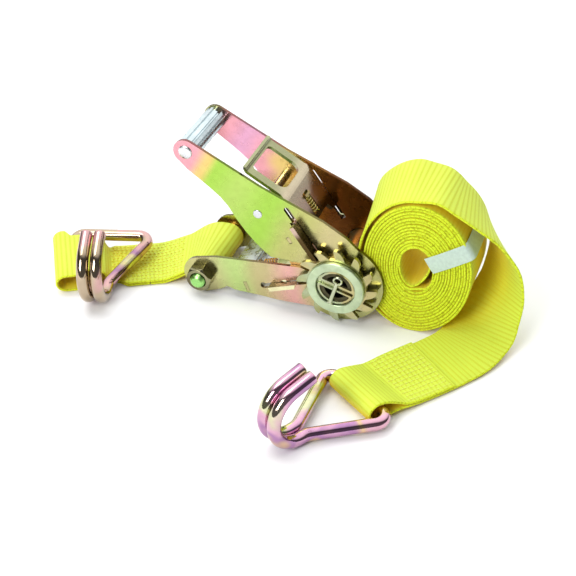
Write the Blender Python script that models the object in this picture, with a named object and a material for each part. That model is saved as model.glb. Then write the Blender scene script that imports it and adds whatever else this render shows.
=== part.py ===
"""Ratchet strap for 50 mm webbing: ratchet, short hook strap, long hook strap with its roll."""

from math import acos, asin, atan2, cos, degrees, exp, pi, radians, sin, sqrt

import bmesh
import bpy
from mathutils import Matrix, Vector
from mathutils.geometry import delaunay_2d_cdt

for old in list(bpy.data.objects):
    bpy.data.objects.remove(old, do_unlink=True)

MM = 0.001

# driving dimensions, millimetres. The mandrel axis is X 0, along Y; the floor is Z 0.
AXIS_Z = 32.9  # mandrel axis above the floor
GAP = 0.3  # play between touching pieces
HANDLE_Y = (26.0, 28.5)  # inner and outer face of a handle side plate
FRAME_Y = (28.9, 31.4)
GEAR_Y = (31.8, 34.8)
HUB_Y = (35.1, 38.0)
SHAFT_END_Y = 36.4
PIN_Y = 38.6  # centre plane of a cotter pin
SHAFT_R = 10.9
SHAFT_WALL = 1.9
SHAFT_SLOT = 3.2  # webbing slot between the two half shafts
SLOT_TURN = radians(-15)  # rest angle of that slot about the mandrel axis
BORE_R = SHAFT_R + 0.5
TEETH = 12
TOOTH_TIP_R = 30.0
TOOTH_ROOT_R = 22.3
TOOTH_FACE = radians(124.1)  # steep face that the handle pawl drives
HUB_R = (14.5, 21.2)
DISC_R = 32.6  # round end of a handle side plate
FRAME_DISC_R = 22.6

BOLT_X, BOLT_Z = -105.5, 15.1
FRAME_END_R = 14.8
BOLT_R = 5.5
SLEEVE_R = 8.0
NUT_R = 10.4  # across corners, half
GRIP_X, GRIP_Z = -115.0, AXIS_Z + 83.0
GRIP_R = 8.4
TIE_X, TIE_Z = -61.5, AXIS_Z + 43.6
TIE_R = 3.5

PAWL_T = 3.4
HANDLE_PAWL_TURN = radians(126.1)  # direction that the handle pawl slides out along
HANDLE_PAWL_OFF = 1.6  # how far its mid plane passes from the mandrel axis
FRAME_PAWL_TURN = radians(200.5)
FRAME_PAWL_OFF = -4.7
FRAME_PAWL_BACK = 6.0  # the frame pawl is held this far short of its engaged place
PAWL_TIP = 24.0

WEB_W = 50.0
WEB_T = 2.0
FLOOR_GAP = 0.2
WIRE_R = 4.5
HOOK_BASE = 66.0
HOOK_HEIGHT = 53.0
HOOK_HALF_GAP = 4.9
HOOK_BEND_R = 21.6
HOOK_FLARE = radians(12)
HOOK_ARM = 16.0
HOOK_CORNER_R = 7.0

ROLL_X, ROLL_Z = 53.8, 53.7
ROLL_A, ROLL_B = 39.6, 53.2  # half width and half height without the loose turn
BAND_W, BAND_T = 13.0, 0.6

ZINC = (0.62, 0.56, 0.30, 1), 0.28, 1.0
SILVER = (0.80, 0.81, 0.83, 1), 0.30, 1.0
YELLOW = (0.80, 0.86, 0.05, 1), 0.75, 0.0
WHITE = (0.85, 0.86, 0.84, 1), 0.60, 0.0
STEEL = (0.45, 0.42, 0.30, 1), 0.35, 1.0

strap = bpy.data.collections.new("RatchetStrap")
bpy.context.scene.collection.children.link(strap)


def material(name, look):
    mat = bpy.data.materials.new(name)
    mat.use_nodes = True
    shader = mat.node_tree.nodes["Principled BSDF"]
    colour, roughness, metallic = look
    shader.inputs["Base Color"].default_value = colour
    shader.inputs["Roughness"].default_value = roughness
    shader.inputs["Metallic"].default_value = metallic
    return mat


def place(name, bm, look, origin=(0, 0, 0)):
    """A node from a bmesh in millimetres, with its origin on its joint."""
    bmesh.ops.remove_doubles(bm, verts=bm.verts, dist=1e-4)
    bmesh.ops.recalc_face_normals(bm, faces=bm.faces)
    seat = Matrix.Translation(origin)
    bmesh.ops.transform(bm, matrix=Matrix.Scale(MM, 4) @ seat.inverted(), verts=bm.verts)
    mesh = bpy.data.meshes.new(name)
    bm.to_mesh(mesh)
    bm.free()
    obj = bpy.data.objects.new(name, mesh)
    obj.data.materials.append(material(name, look))
    strap.objects.link(obj)
    seat.translation *= MM
    obj.matrix_world = seat
    return obj


def joined(first, others, operation="UNION"):
    """The EXACT Boolean of bmeshes, as a new bmesh."""
    made = []
    for bm in [first, *others]:
        bmesh.ops.remove_doubles(bm, verts=bm.verts, dist=1e-4)
        bmesh.ops.recalc_face_normals(bm, faces=bm.faces)
        mesh = bpy.data.meshes.new("piece")
        bm.to_mesh(mesh)
        bm.free()
        made.append(bpy.data.objects.new("piece", mesh))
        bpy.context.scene.collection.objects.link(made[-1])
    for other in made[1:]:
        cut = made[0].modifiers.new("cut", "BOOLEAN")
        cut.solver, cut.operation, cut.object = "EXACT", operation, other
    graph = bpy.context.evaluated_depsgraph_get()
    out = bmesh.new()
    out.from_mesh(bpy.data.meshes.new_from_object(made[0].evaluated_get(graph)))
    for obj in made:
        bpy.data.objects.remove(obj, do_unlink=True)
    return out


def arc(cx, cz, r, start, end, steps):
    """Points on a circle from one angle to another, in degrees."""
    turns = [radians(start + (end - start) * i / steps) for i in range(steps + 1)]
    return [(cx + r * cos(t), cz + r * sin(t)) for t in turns]


def circle(cx, cz, r, steps=24):
    return arc(cx, cz, r, 0, 360, steps)[:-1]


def rounded(points, radii, steps=4):
    """A closed outline with each corner rounded by its own radius."""
    out = []
    for i, corner in enumerate(points):
        radius = radii[i] if isinstance(radii, (list, tuple)) else radii
        here = Vector(corner)
        to_a = (Vector(points[i - 1]) - here).normalized()
        to_b = (Vector(points[(i + 1) % len(points)]) - here).normalized()
        half = acos(max(-1, min(1, to_a.dot(to_b)))) / 2
        if radius <= 0 or half > radians(88):
            out.append(tuple(here))
            continue
        centre = here + (to_a + to_b).normalized() * radius / sin(half)
        a = here + to_a * radius / (sin(half) / cos(half)) - centre
        b = here + to_b * radius / (sin(half) / cos(half)) - centre
        first, last = atan2(a.y, a.x), atan2(b.y, b.x)
        sweep = (last - first + pi) % (2 * pi) - pi
        for k in range(steps + 1):
            t = first + sweep * k / steps
            out.append((centre.x + radius * cos(t), centre.y + radius * sin(t)))
    return out


def inside(point, rings):
    """Whether a point is inside an odd number of rings' edges."""
    odd = False
    for ring in rings:
        for (ax, ay), (bx, by) in zip(ring, [*ring[1:], ring[0]]):
            if (ay > point.y) != (by > point.y):
                odd ^= point.x < ax + (point.y - ay) * (bx - ax) / (by - ay)
    return odd


def flat(outline, holes=(), thick=1.0):
    """A flat shape with holes as a bmesh: outline in x and y, thickness centred on z."""
    corners, edges = [], []
    for ring in [outline, *holes]:
        first = len(corners)
        corners += [Vector(p) for p in ring]
        edges += [(first + i, first + (i + 1) % len(ring)) for i in range(len(ring))]
    points, _, faces, *_ = delaunay_2d_cdt(corners, edges, [], 0, 1e-5)
    bm = bmesh.new()
    made = [bm.verts.new((p.x, p.y, -thick / 2)) for p in points]
    for face in faces:
        if inside(sum((points[i] for i in face), Vector((0, 0))) / 3, [outline, *holes]):
            bm.faces.new([made[i] for i in face])
    bmesh.ops.delete(bm, geom=[v for v in bm.verts if not v.link_faces], context="VERTS")
    raised = bmesh.ops.extrude_face_region(bm, geom=bm.faces[:])["geom"]
    for v in raised:
        if isinstance(v, bmesh.types.BMVert):
            v.co.z = thick / 2
    return bm


def upright(outline, holes, y0, y1):
    """A plate whose outline lies in X and Z, between two values of Y."""
    bm = flat(outline, holes, abs(y1 - y0))
    for v in bm.verts:
        v.co = Vector((v.co.x, (y0 + y1) / 2 + v.co.z, v.co.y))
    return bm


def sliced(bm, normal, places):
    """The bmesh with edges added on planes, so that it can follow a bend."""
    for offset in places:
        bmesh.ops.bisect_plane(
            bm,
            geom=bm.verts[:] + bm.edges[:] + bm.faces[:],
            plane_co=Vector(normal) * offset,
            plane_no=normal,
        )
    return bm


def bar(x, z, r, y0, y1, steps=20, hole=0.0):
    rings = [circle(x, z, hole, steps)] if hole else []
    return upright(circle(x, z, r, steps), rings, y0, y1)


def box(low, high, matrix=None):
    bm = bmesh.new()
    bmesh.ops.create_cube(bm, size=1)
    low, high = Vector(low), Vector(high)
    for v in bm.verts:
        v.co = Vector(((low + high) / 2)[k] + (high - low)[k] * v.co[k] for k in range(3))
    if matrix:
        bmesh.ops.transform(bm, matrix=matrix, verts=bm.verts)
    return bm


def rod(points, radius, sides=12):
    """A wire swept along a path without twist, with flat ends."""
    bm = bmesh.new()
    points = [Vector(p) for p in points]
    ways = []
    for i, p in enumerate(points):
        a = (p - points[i - 1]).normalized() if i else None
        b = (points[i + 1] - p).normalized() if i + 1 < len(points) else None
        ways.append(((a or b) + (b or a)).normalized())
    side = ways[0].orthogonal().normalized()
    rings = []
    for i, (p, way) in enumerate(zip(points, ways)):
        if i:
            side = (side - way * side.dot(way)).normalized()
        other = way.cross(side)
        bend = 1.0
        if 0 < i < len(points) - 1:
            bend = 1 / max(0.5, way.dot((points[i + 1] - p).normalized()))
            inner = (points[i + 1] - p).normalized() - (p - points[i - 1]).normalized()
        ring = []
        for k in range(sides):
            t = 2 * pi * k / sides
            out = side * cos(t) + other * sin(t)
            if bend > 1.0001:
                lean = inner.normalized()
                out = out + lean * (bend - 1) * out.dot(lean)
            ring.append(bm.verts.new(p + out * radius))
        rings.append(ring)
    for a, b in zip(rings, rings[1:]):
        for k in range(sides):
            n = (k + 1) % sides
            bm.faces.new((a[k], a[n], b[n], b[k]))
    bm.faces.new(rings[0])
    bm.faces.new(rings[-1])
    return bm


def coil(start, end, radius, wire, turns, sides=6, steps=12):
    """A compression spring between two points."""
    start, end = Vector(start), Vector(end)
    way = (end - start).normalized()
    u = way.orthogonal().normalized()
    v = way.cross(u)
    count = int(turns * steps)
    path = []
    for i in range(count + 1):
        t = 2 * pi * i / steps
        path.append(start + (end - start) * i / count + (u * cos(t) + v * sin(t)) * radius)
    return rod(path, wire, sides)


def mirrored(name, make, look, y_range, origin=(0, 0, 0)):
    """The same plate on both sides: name_front at -Y and name_rear at +Y."""
    for end, sign in (("front", -1), ("rear", 1)):
        place(f"{name}_{end}", make(sign * y_range[0], sign * y_range[1]), look, origin)


def along(turn, off, t, across=0.0):
    """X and Z of a point on a pawl: t from the axis along it, across its mid plane."""
    c, s = cos(turn), sin(turn)
    return (t * c - (off + across) * s, AXIS_Z + t * s + (off + across) * c)


def pawl_frame(turn, off):
    """Pawl coordinates (t, y, across) to world."""
    c, s = cos(turn), sin(turn)
    x, z = along(turn, off, 0)
    return Matrix(((c, 0, -s, x), (0, 1, 0, 0), (s, 0, c, z), (0, 0, 0, 1)))


# frame ---------------------------------------------------------------------------------

FRAME_SLOT = (19.0, 60.5)
FRAME_OUTLINE = (
    arc(BOLT_X, BOLT_Z, FRAME_END_R, 282, 97, 14)
    + [(-94.5, AXIS_Z + 0.4), (-28.5, AXIS_Z + 7.4), (-24.6, AXIS_Z + 6.4)]
    + arc(0, AXIS_Z, FRAME_DISC_R, 165, -110, 22)
    + [(-14, AXIS_Z - 24.0), (-21.3, AXIS_Z - 24.6), (-45.4, AXIS_Z - 25.8)]
    + [(-59.6, AXIS_Z - 25.2), (-80.0, AXIS_Z - 25.2), (-83.2, AXIS_Z - 23.9)]
    + [(-86.2, AXIS_Z - 23.9), (-90.5, AXIS_Z - 27.2)]
)


def frame_plate(y0, y1):
    half = PAWL_T / 2 + 0.4
    slot = [
        along(FRAME_PAWL_TURN, FRAME_PAWL_OFF, t, a)
        for t, a in (
            (FRAME_SLOT[0], half),
            (FRAME_SLOT[0], -half),
            (38.2, -half),
            (39.6, -half - 1.2),
            (42.2, -half - 1.2),
            (43.8, -half),
            (56.5, -half),
        )
    ]
    end = along(FRAME_PAWL_TURN, FRAME_PAWL_OFF, 58.2, -0.6)
    turn = degrees(FRAME_PAWL_TURN)
    slot += arc(*end, 2.6, turn - 118, turn + 112, 8)
    slot += [along(FRAME_PAWL_TURN, FRAME_PAWL_OFF, 56.0, half)]
    holes = [circle(0, AXIS_Z, BORE_R, 32), circle(BOLT_X, BOLT_Z, BOLT_R + 0.15, 20), slot]
    tab = [along(FRAME_PAWL_TURN, FRAME_PAWL_OFF, t, a) for t, a in SEAT_SLIT]
    return upright(FRAME_OUTLINE, [*holes, tab], y0, y1)


SEAT_T = 71.0  # spring seat on the frame, along the frame pawl's line
SEAT_SLIT = ((SEAT_T, -5.4), (SEAT_T, 3.4), (SEAT_T + 2.9, 3.4), (SEAT_T + 2.9, -5.4))
mirrored("frame_plate", frame_plate, ZINC, FRAME_Y)


def frame_cross_plate():
    """The spring seat between the frame plates, with its flange and its two end tabs."""
    y, tab = FRAME_Y[0] - GAP, FRAME_Y[1]
    half = [(y, 5.5), (y, 3.2), (tab, 3.2), (tab, -5.2), (y, -5.2), (y, -7.0)]
    bm = flat(half + [(-b, a) for b, a in reversed(half)], (), 2.5)
    for v in bm.verts:
        v.co = Vector((SEAT_T + 1.45 + v.co.z, v.co.x, v.co.y))
    flange = box((SEAT_T + 0.8, 0.6 - y, -8.6), (SEAT_T + 19.0, y - 0.6, -6.2))
    peg = rod([(SEAT_T - 5.0, 0, 0), (SEAT_T + 1.2, 0, 0)], 2.0)
    bm = joined(bm, [flange, peg])
    seat = pawl_frame(FRAME_PAWL_TURN, FRAME_PAWL_OFF)
    bmesh.ops.transform(bm, matrix=seat, verts=bm.verts)
    return bm


place("frame_cross_plate", frame_cross_plate(), SILVER)

BOLT_TIP_Y = -(FRAME_Y[1] + 11.5)
HEAD_Y = FRAME_Y[1] + GAP
bolt = bar(BOLT_X, BOLT_Z, BOLT_R, BOLT_TIP_Y + 0.8, HEAD_Y + 1.0)
bolt_end = bar(BOLT_X, BOLT_Z, BOLT_R - 0.7, BOLT_TIP_Y, BOLT_TIP_Y + 2.0)
bolt_head = bar(BOLT_X, BOLT_Z, NUT_R, HEAD_Y, HEAD_Y + 6.8, 6)
place("anchor_bolt", joined(bolt, [bolt_end, bolt_head]), SILVER, (BOLT_X, 0, BOLT_Z))
nut_hole = [circle(BOLT_X, BOLT_Z, BOLT_R + 0.12, 20)]
NUT_TURN = 12
nut_ring = arc(BOLT_X, BOLT_Z, NUT_R, NUT_TURN, NUT_TURN + 300, 5)
nut = upright(nut_ring, nut_hole, -(HEAD_Y + 8.2), -HEAD_Y)
place("anchor_nut", nut, SILVER, (BOLT_X, 0, BOLT_Z))
sleeve_y = FRAME_Y[0] - GAP
sleeve = bar(BOLT_X, BOLT_Z, SLEEVE_R, -sleeve_y, sleeve_y, 24, BOLT_R + 0.2)
place("anchor_sleeve", sleeve, STEEL, (BOLT_X, 0, BOLT_Z))


def frame_pawl():
    """Pawl of the frame: a body, two arms through the frame plates, noses in the gear plane."""
    b = FRAME_PAWL_BACK
    seat = pawl_frame(FRAME_PAWL_TURN, FRAME_PAWL_OFF)
    arms_y, inner_y = GEAR_Y[1] + 2.6, FRAME_Y[1] + 0.35
    tip, heel = PAWL_TIP + b, 46.0 + b
    neck = DISC_R + 0.8 + b
    outline = [
        (tip, inner_y), (tip, arms_y), (heel, arms_y), (heel, 25.2), (54.0, 25.2),
        (54.0, 9.0), (58.5, 9.0), (58.5, -9.0), (54.0, -9.0), (54.0, -25.2),
        (heel, -25.2), (heel, -arms_y), (tip, -arms_y), (tip, -inner_y),
        (neck, -inner_y), (neck, inner_y),
    ]
    bm = flat(outline, (), PAWL_T)
    wedge = [v for v in bm.verts if v.co.x < tip + 0.1 and v.co.z > 0]
    for v in wedge:
        v.co.x += 1.6
    bmesh.ops.transform(bm, matrix=seat, verts=bm.verts)
    peg = rod([seat @ Vector((t, 0, 0)) for t in (57.5, 61.5)], 2.0)
    return joined(bm, [peg])


def on_line(turn, off, t):
    """A point of a pawl's mid plane and line of travel."""
    x, z = along(turn, off, t)
    return x, 0, z


FRAME_LINE = FRAME_PAWL_TURN, FRAME_PAWL_OFF
HANDLE_LINE = HANDLE_PAWL_TURN, HANDLE_PAWL_OFF
place("frame_pawl", frame_pawl(), ZINC, on_line(*FRAME_LINE, 45))
seat = on_line(*FRAME_LINE, SEAT_T - 0.9)
place("frame_pawl_spring", coil(on_line(*FRAME_LINE, 59.6), seat, 3.5, 0.6, 5), ZINC, seat)

# handle --------------------------------------------------------------------------------

HANDLE_OUTLINE = (
    arc(GRIP_X, GRIP_Z, 9.2, 238, 62, 12)
    + [(-59.3, AXIS_Z + 66.0), (-12.9, AXIS_Z + 47.4), (4.5, AXIS_Z + 37.6)]
    + arc(0, AXIS_Z, DISC_R, 66, -158, 34)
    + [(-35.0, AXIS_Z + 4.0), (-38.0, AXIS_Z + 9.6), (-51.5, AXIS_Z + 9.2)]
    + [(-56.2, AXIS_Z + 12.6), (-63.3, AXIS_Z + 18.8), (-70.5, AXIS_Z + 26.6)]
    + [(-77.3, AXIS_Z + 35.4), (-83.9, AXIS_Z + 45.6), (-89.5, AXIS_Z + 51.8)]
    + [(-96.5, AXIS_Z + 57.4), (-104.2, AXIS_Z + 62.9), (-114.0, AXIS_Z + 69.6)]
)


def on_handle(*points):
    return [along(HANDLE_PAWL_TURN, HANDLE_PAWL_OFF, t, a) for t, a in points]


def handle_plate(y0, y1):
    half = PAWL_T / 2 + 0.4
    slot = on_handle((22.6, -half), (22.6, half), (51.5, half), (51.5, half + 2.2))
    slot += on_handle((55.5, half + 2.2), (55.5, half), (66.0, half))
    slot += on_handle((67.2, half - 1.2), (67.2, 1.0 - half), (66.0, -half))
    slit = on_handle((41.0, 11.8), (41.0, 14.4), (46.6, 14.4), (46.6, 11.8))
    holes = [circle(0, AXIS_Z, BORE_R, 32), circle(GRIP_X, GRIP_Z, 3.9, 16)]
    holes += [circle(TIE_X, TIE_Z, TIE_R - 0.7, 16), slot, slit]
    return upright(HANDLE_OUTLINE, holes, y0, y1)


mirrored("handle_plate", handle_plate, ZINC, HANDLE_Y, (0, 0, AXIS_Z))


def grip_sleeve():
    """The ridged sleeve round the grip rod, with notches cut in its rear end."""
    ring = []
    for k in range(12):
        a, step = 360 * k / 12, 30
        for share, r in ((0.1, GRIP_R), (0.62, GRIP_R), (0.74, GRIP_R - 1.0), (0.98, GRIP_R - 1.0)):
            t = radians(a + step * share)
            ring.append((GRIP_X + r * cos(t), GRIP_Z + r * sin(t)))
    y = HANDLE_Y[0] - GAP
    bm = upright(ring, [circle(GRIP_X, GRIP_Z, 4.2, 16)], -y, y)
    cuts = []
    for k in range(4):
        turn = Matrix.Translation((GRIP_X, 0, GRIP_Z)) @ Matrix.Rotation(pi * (k + 0.3) / 2, 4, "Y")
        cuts.append(box((4.9, y - 4.5, -2.0), (12.0, y + 2.0, 2.0), turn))
    return joined(bm, cuts, "DIFFERENCE")


place("grip_sleeve", grip_sleeve(), SILVER, (GRIP_X, 0, GRIP_Z))


def rivet(x, z, r, neck, head, wide):
    """A rod between the handle plates, necked through them, with a domed head outside each."""
    inner, outer = HANDLE_Y[0] - GAP, HANDLE_Y[1] + 0.15
    profile = [(outer + head, wide * 0.45), (outer + head * 0.8, wide * 0.78)]
    profile += [(outer + head * 0.35, wide), (outer, wide), (outer, neck), (inner, neck)]
    if r > neck:
        profile.append((inner, r))
    profile += [(-y, radius) for y, radius in reversed(profile)]
    bm = bmesh.new()
    steps = 20
    rings = []
    for y, radius in profile:
        turns = [2 * pi * k / steps for k in range(steps)]
        rings.append([bm.verts.new((x + radius * cos(t), y, z + radius * sin(t))) for t in turns])
    for a, b in zip(rings, rings[1:]):
        for k in range(steps):
            n = (k + 1) % steps
            bm.faces.new((a[k], a[n], b[n], b[k]))
    bm.faces.new(rings[0])
    bm.faces.new(rings[-1])
    return bm


place("grip_rod", rivet(GRIP_X, GRIP_Z, 3.7, 3.6, 1.2, 5.2), SILVER, (GRIP_X, 0, GRIP_Z))
tie = rivet(TIE_X, TIE_Z, TIE_R, TIE_R - 1.0, 0.44, 3.4)
place("handle_tie_rod", tie, STEEL, (TIE_X, 0, TIE_Z))

LOOP_T = 73.0  # the finger loop bends back from the pawl here
LOOP_BEND = radians(25)
LOOP_LENGTH = 35.0


def handle_pawl():
    """Pawl of the handle: noses in the gear plane, spring window, finger loop bent back."""
    arms, inner = GEAR_Y[1] + 1.6, HANDLE_Y[1] + 0.4
    body, end = 25.6, LOOP_T + LOOP_LENGTH
    right = [(PAWL_TIP, inner), (PAWL_TIP, arms), (54.5, arms), (54.5, body)]
    right += [(LOOP_T - 2, body), (LOOP_T + 2, 23.4), (end, 23.4)]
    left = [(t, -y) for t, y in reversed(right)]
    lower = [(35.0, -inner), (35.0, -20.0), (41.5, -16.5), (41.5, 16.5), (35.0, 20.0)]
    outline = right + left + lower + [(35.0, inner)]
    window = rounded([(44.5, -4.6), (44.5, 4.6), (62.6, 4.6), (62.6, -4.6)], 1.0, 2)
    low, far, wide = LOOP_T + 1.5, end - 5.5, 16.5
    loop = rounded([(low, -wide), (low, wide), (far, wide), (far, -wide)], [7, 7, 3, 3], 4)
    bm = flat(outline, [window, loop], PAWL_T)
    bends = [LOOP_T - 4 + 1.6 * k for k in range(6)] + [end - 5.5, end - 4.0, end - 2.5, end - 1.2]
    sliced(bm, (1, 0, 0), bends)
    for v in bm.verts:
        t, y, a = v.co
        if t < PAWL_TIP + 0.1 and a > 0:
            t += 1.8
        thin = 1.0 if t < LOOP_T - 4 else max(0.7, 1 - 0.06 * (t - LOOP_T + 4))
        a *= thin
        angle, px, pa, s = 0.0, min(t, LOOP_T - 4), 0.0, LOOP_T - 4
        while s < t - 1e-6:
            step = min(0.4, t - s)
            angle = LOOP_BEND * min(1.0, (s + step / 2 - LOOP_T + 4) / 8.0)
            if s > end - 5.5:
                angle -= radians(70) * (s + step / 2 - end + 5.5) / 5.5
            px, pa, s = px + step * cos(angle), pa + step * sin(angle), s + step
        v.co = Vector((px - a * sin(angle), y, pa + a * cos(angle)))
    seat = pawl_frame(HANDLE_PAWL_TURN, HANDLE_PAWL_OFF)
    bmesh.ops.transform(bm, matrix=seat, verts=bm.verts)
    return bm


place("handle_pawl", handle_pawl(), ZINC, on_line(*HANDLE_LINE, 45))


def handle_spring_seat():
    """A bracket with end tabs in the handle plates and a tongue through the pawl's window."""
    y, tab = HANDLE_Y[0] - GAP, HANDLE_Y[1]
    half = [(41.3, y), (41.5, y), (41.5, tab), (46.1, tab), (46.1, y), (46.3, y), (46.3, 6.0)]
    half += [(61.5, 6.0)]
    bm = flat(half + [(t, -b) for t, b in reversed(half)], (), 2.2)
    for v in bm.verts:
        v.co.z += 13.1
    tongue = box((59.2, -3.9, -3.4), (61.2, 3.9, 13.2))
    peg = rod([(55.5, 0, 0), (60.2, 0, 0)], 1.7)
    bm = joined(bm, [tongue, peg])
    seat = pawl_frame(HANDLE_PAWL_TURN, HANDLE_PAWL_OFF)
    bmesh.ops.transform(bm, matrix=seat, verts=bm.verts)
    return bm


place("handle_spring_seat", handle_spring_seat(), ZINC)
seat = on_line(*HANDLE_LINE, 58.6)
place("handle_pawl_spring", coil(on_line(*HANDLE_LINE, 45.3), seat, 3.0, 0.5, 6), ZINC, seat)

# mandrel -------------------------------------------------------------------------------


def half_shaft_ring(r, low, corner):
    """The outline of half a shaft: a chord at height low and the arc above it."""
    start = degrees(asin(low / r))
    ends = arc(0, 0, r, start + 6, 174 - start, 12)
    c = r * cos(radians(start))
    return [(c - corner, low), *ends, (corner - c, low)]


def half_shaft(turn):
    outer = half_shaft_ring(SHAFT_R, SHAFT_SLOT / 2, 1.3)
    inner = half_shaft_ring(SHAFT_R - SHAFT_WALL, SHAFT_SLOT / 2 + SHAFT_WALL, 0.9)
    c, s = cos(turn), sin(turn)
    rings = [[(x * c - z * s, AXIS_Z + x * s + z * c) for x, z in r] for r in (outer, inner)]
    return upright(rings[0], [rings[1]], -SHAFT_END_Y, SHAFT_END_Y)


place("mandrel_half_upper", half_shaft(SLOT_TURN), ZINC, (0, 0, AXIS_Z))
place("mandrel_half_lower", half_shaft(SLOT_TURN + pi), ZINC, (0, 0, AXIS_Z))


def gear(y0, y1):
    """Saw-toothed wheel with one D-shaped hole for each half shaft."""
    ring = []
    for k in range(TEETH):
        face = degrees(TOOTH_FACE) - 360 * k / TEETH
        shape = ((-0.8, TOOTH_ROOT_R), (0.0, 24.0), (1.4, TOOTH_TIP_R - 0.4))
        shape += ((0.9, TOOTH_TIP_R), (-3.4, TOOTH_TIP_R - 0.2), (-8.5, 28.4), (-13.0, 26.2))
        shape += ((-17.0, 23.8), (-19.5, TOOTH_ROOT_R + 0.3), (-24.5, TOOTH_ROOT_R))
        for turn, r in shape:
            t = radians(face + turn)
            ring.append((r * cos(t), AXIS_Z + r * sin(t)))
    holes = []
    for turn in (SLOT_TURN, SLOT_TURN + pi):
        c, s = cos(turn), sin(turn)
        shape = half_shaft_ring(SHAFT_R + 0.25, SHAFT_SLOT / 2 - 0.25, 1.2)
        holes.append([(x * c - z * s, AXIS_Z + x * s + z * c) for x, z in shape])
    return upright(ring, holes, y0, y1)


mirrored("ratchet_gear", gear, ZINC, GEAR_Y, (0, 0, AXIS_Z))


def hub_ring(y0, y1):
    return upright(circle(0, AXIS_Z, HUB_R[1], 40), [circle(0, AXIS_Z, HUB_R[0], 32)], y0, y1)


mirrored("hub_ring", hub_ring, WHITE, HUB_Y, (0, 0, AXIS_Z))


def cotter(sign):
    """A split pin across the hub opening: eye at the top, legs spread a little below."""
    up = SLOT_TURN + pi / 2
    c, s = cos(up), sin(up)

    def at(along_, side, lift=0.0):
        x, z = along_ * c - side * s, along_ * s + side * c
        return Vector((x, sign * (PIN_Y + lift), AXIS_Z + z))

    eye = [at(8.2 + 2.9 * sin(radians(t)), 2.9 * cos(radians(t))) for t in range(-60, 241, 25)]
    wire = rod([at(6.6, 1.2), *eye, at(6.6, -1.2)], 0.8, 8)
    stem = rod([at(7.0, 0), at(-12.6, 0)], 1.55, 12)
    legs = [rod([at(-11.2, 0), at(-13.2, side)], 0.9, 8) for side in (1.9, -1.9)]
    return joined(stem, [wire, *legs])


for end, sign in (("front", -1), ("rear", 1)):
    place(f"cotter_pin_{end}", cotter(sign), SILVER, (0, 0, AXIS_Z))

# hooks ---------------------------------------------------------------------------------


def corner_arc(before, corner, after, radius, steps=5):
    """Points that round one corner of a 3-D path."""
    a, b = (before - corner).normalized(), (after - corner).normalized()
    half = acos(a.dot(b)) / 2
    centre = corner + (a + b).normalized() * radius / sin(half)
    first, last = corner + a * radius * cos(half) / sin(half), corner + b * radius * cos(half) / sin(half)
    u, w = first - centre, last - centre
    total = acos(max(-1, min(1, u.dot(w) / radius**2)))
    out = []
    for k in range(steps + 1):
        share = k / steps
        mix = (u * sin((1 - share) * total) + w * sin(share * total)) / sin(total)
        out.append(centre + mix)
    return out


def hook_path():
    """Double J hook bent from one rod: base bar along x, apex at +y, J bends rising in z."""
    half, g = HOOK_BASE / 2, HOOK_HALF_GAP

    def j_bend(x):
        steps, end = 9, 90 - degrees(HOOK_FLARE)
        turns = [radians(-90 + (end + 90) * k / steps) for k in range(steps + 1)]
        pts = [
            Vector((x, HOOK_HEIGHT + HOOK_BEND_R * cos(t), HOOK_BEND_R * (1 + sin(t))))
            for t in turns
        ]
        way = Vector((0, -cos(HOOK_FLARE), sin(HOOK_FLARE)))
        return pts + [pts[-1] + way * HOOK_ARM]

    apex = [Vector((x, HOOK_HEIGHT - 3.0, 0)) for x in (g, -g)]
    base = [Vector((half, 0, 0)), Vector((-half, 0, 0))]
    left, right = j_bend(g), j_bend(-g)
    path = left[::-1]
    path += corner_arc(left[0], apex[0], base[0], 12.0, 3)
    path += corner_arc(apex[0], base[0], base[1], HOOK_CORNER_R)
    path += corner_arc(base[0], base[1], apex[1], HOOK_CORNER_R)
    path += corner_arc(base[1], apex[1], right[0], 12.0, 3)
    return path + right


def hook_seat(at, yaw, pitch, roll):
    turn = Matrix.Rotation(yaw, 4, "Z") @ Matrix.Rotation(pitch, 4, "X")
    return Matrix.Translation(at) @ turn @ Matrix.Rotation(roll, 4, "Y")


def hook(name, seat, origin, sides=14):
    path = [seat @ p for p in hook_path()]
    place(name, rod(path, WIRE_R, sides), ZINC, origin)


LONG_HOOK_AT = Vector((42.0, -110.8, 8.2))
LONG_HOOK_YAW = 2.597
long_seat = hook_seat(LONG_HOOK_AT, LONG_HOOK_YAW, radians(-3.4), 0)
hook("long_end_hook", long_seat, LONG_HOOK_AT)

SHORT_HOOK_AT = Vector((-190.0, -11.3, 17.6))
SHORT_HOOK_YAW = 3.423
short_seat = hook_seat(SHORT_HOOK_AT, SHORT_HOOK_YAW, -0.211, 0.02)
SHORT_WIRE = [short_seat @ Vector(p) for p in ((HOOK_BASE / 2, 0, 0), (HOOK_HALF_GAP, 50.0, 0))]
SHORT_HINGE = SHORT_WIRE[0].lerp(SHORT_WIRE[1], 0.55)
hook("short_end_hook", short_seat, SHORT_HINGE)

# webbing -------------------------------------------------------------------------------


def spaced(a, b, step):
    count = max(1, round(abs(b - a) / step))
    return [a + (b - a) * i / count for i in range(count)]


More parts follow.
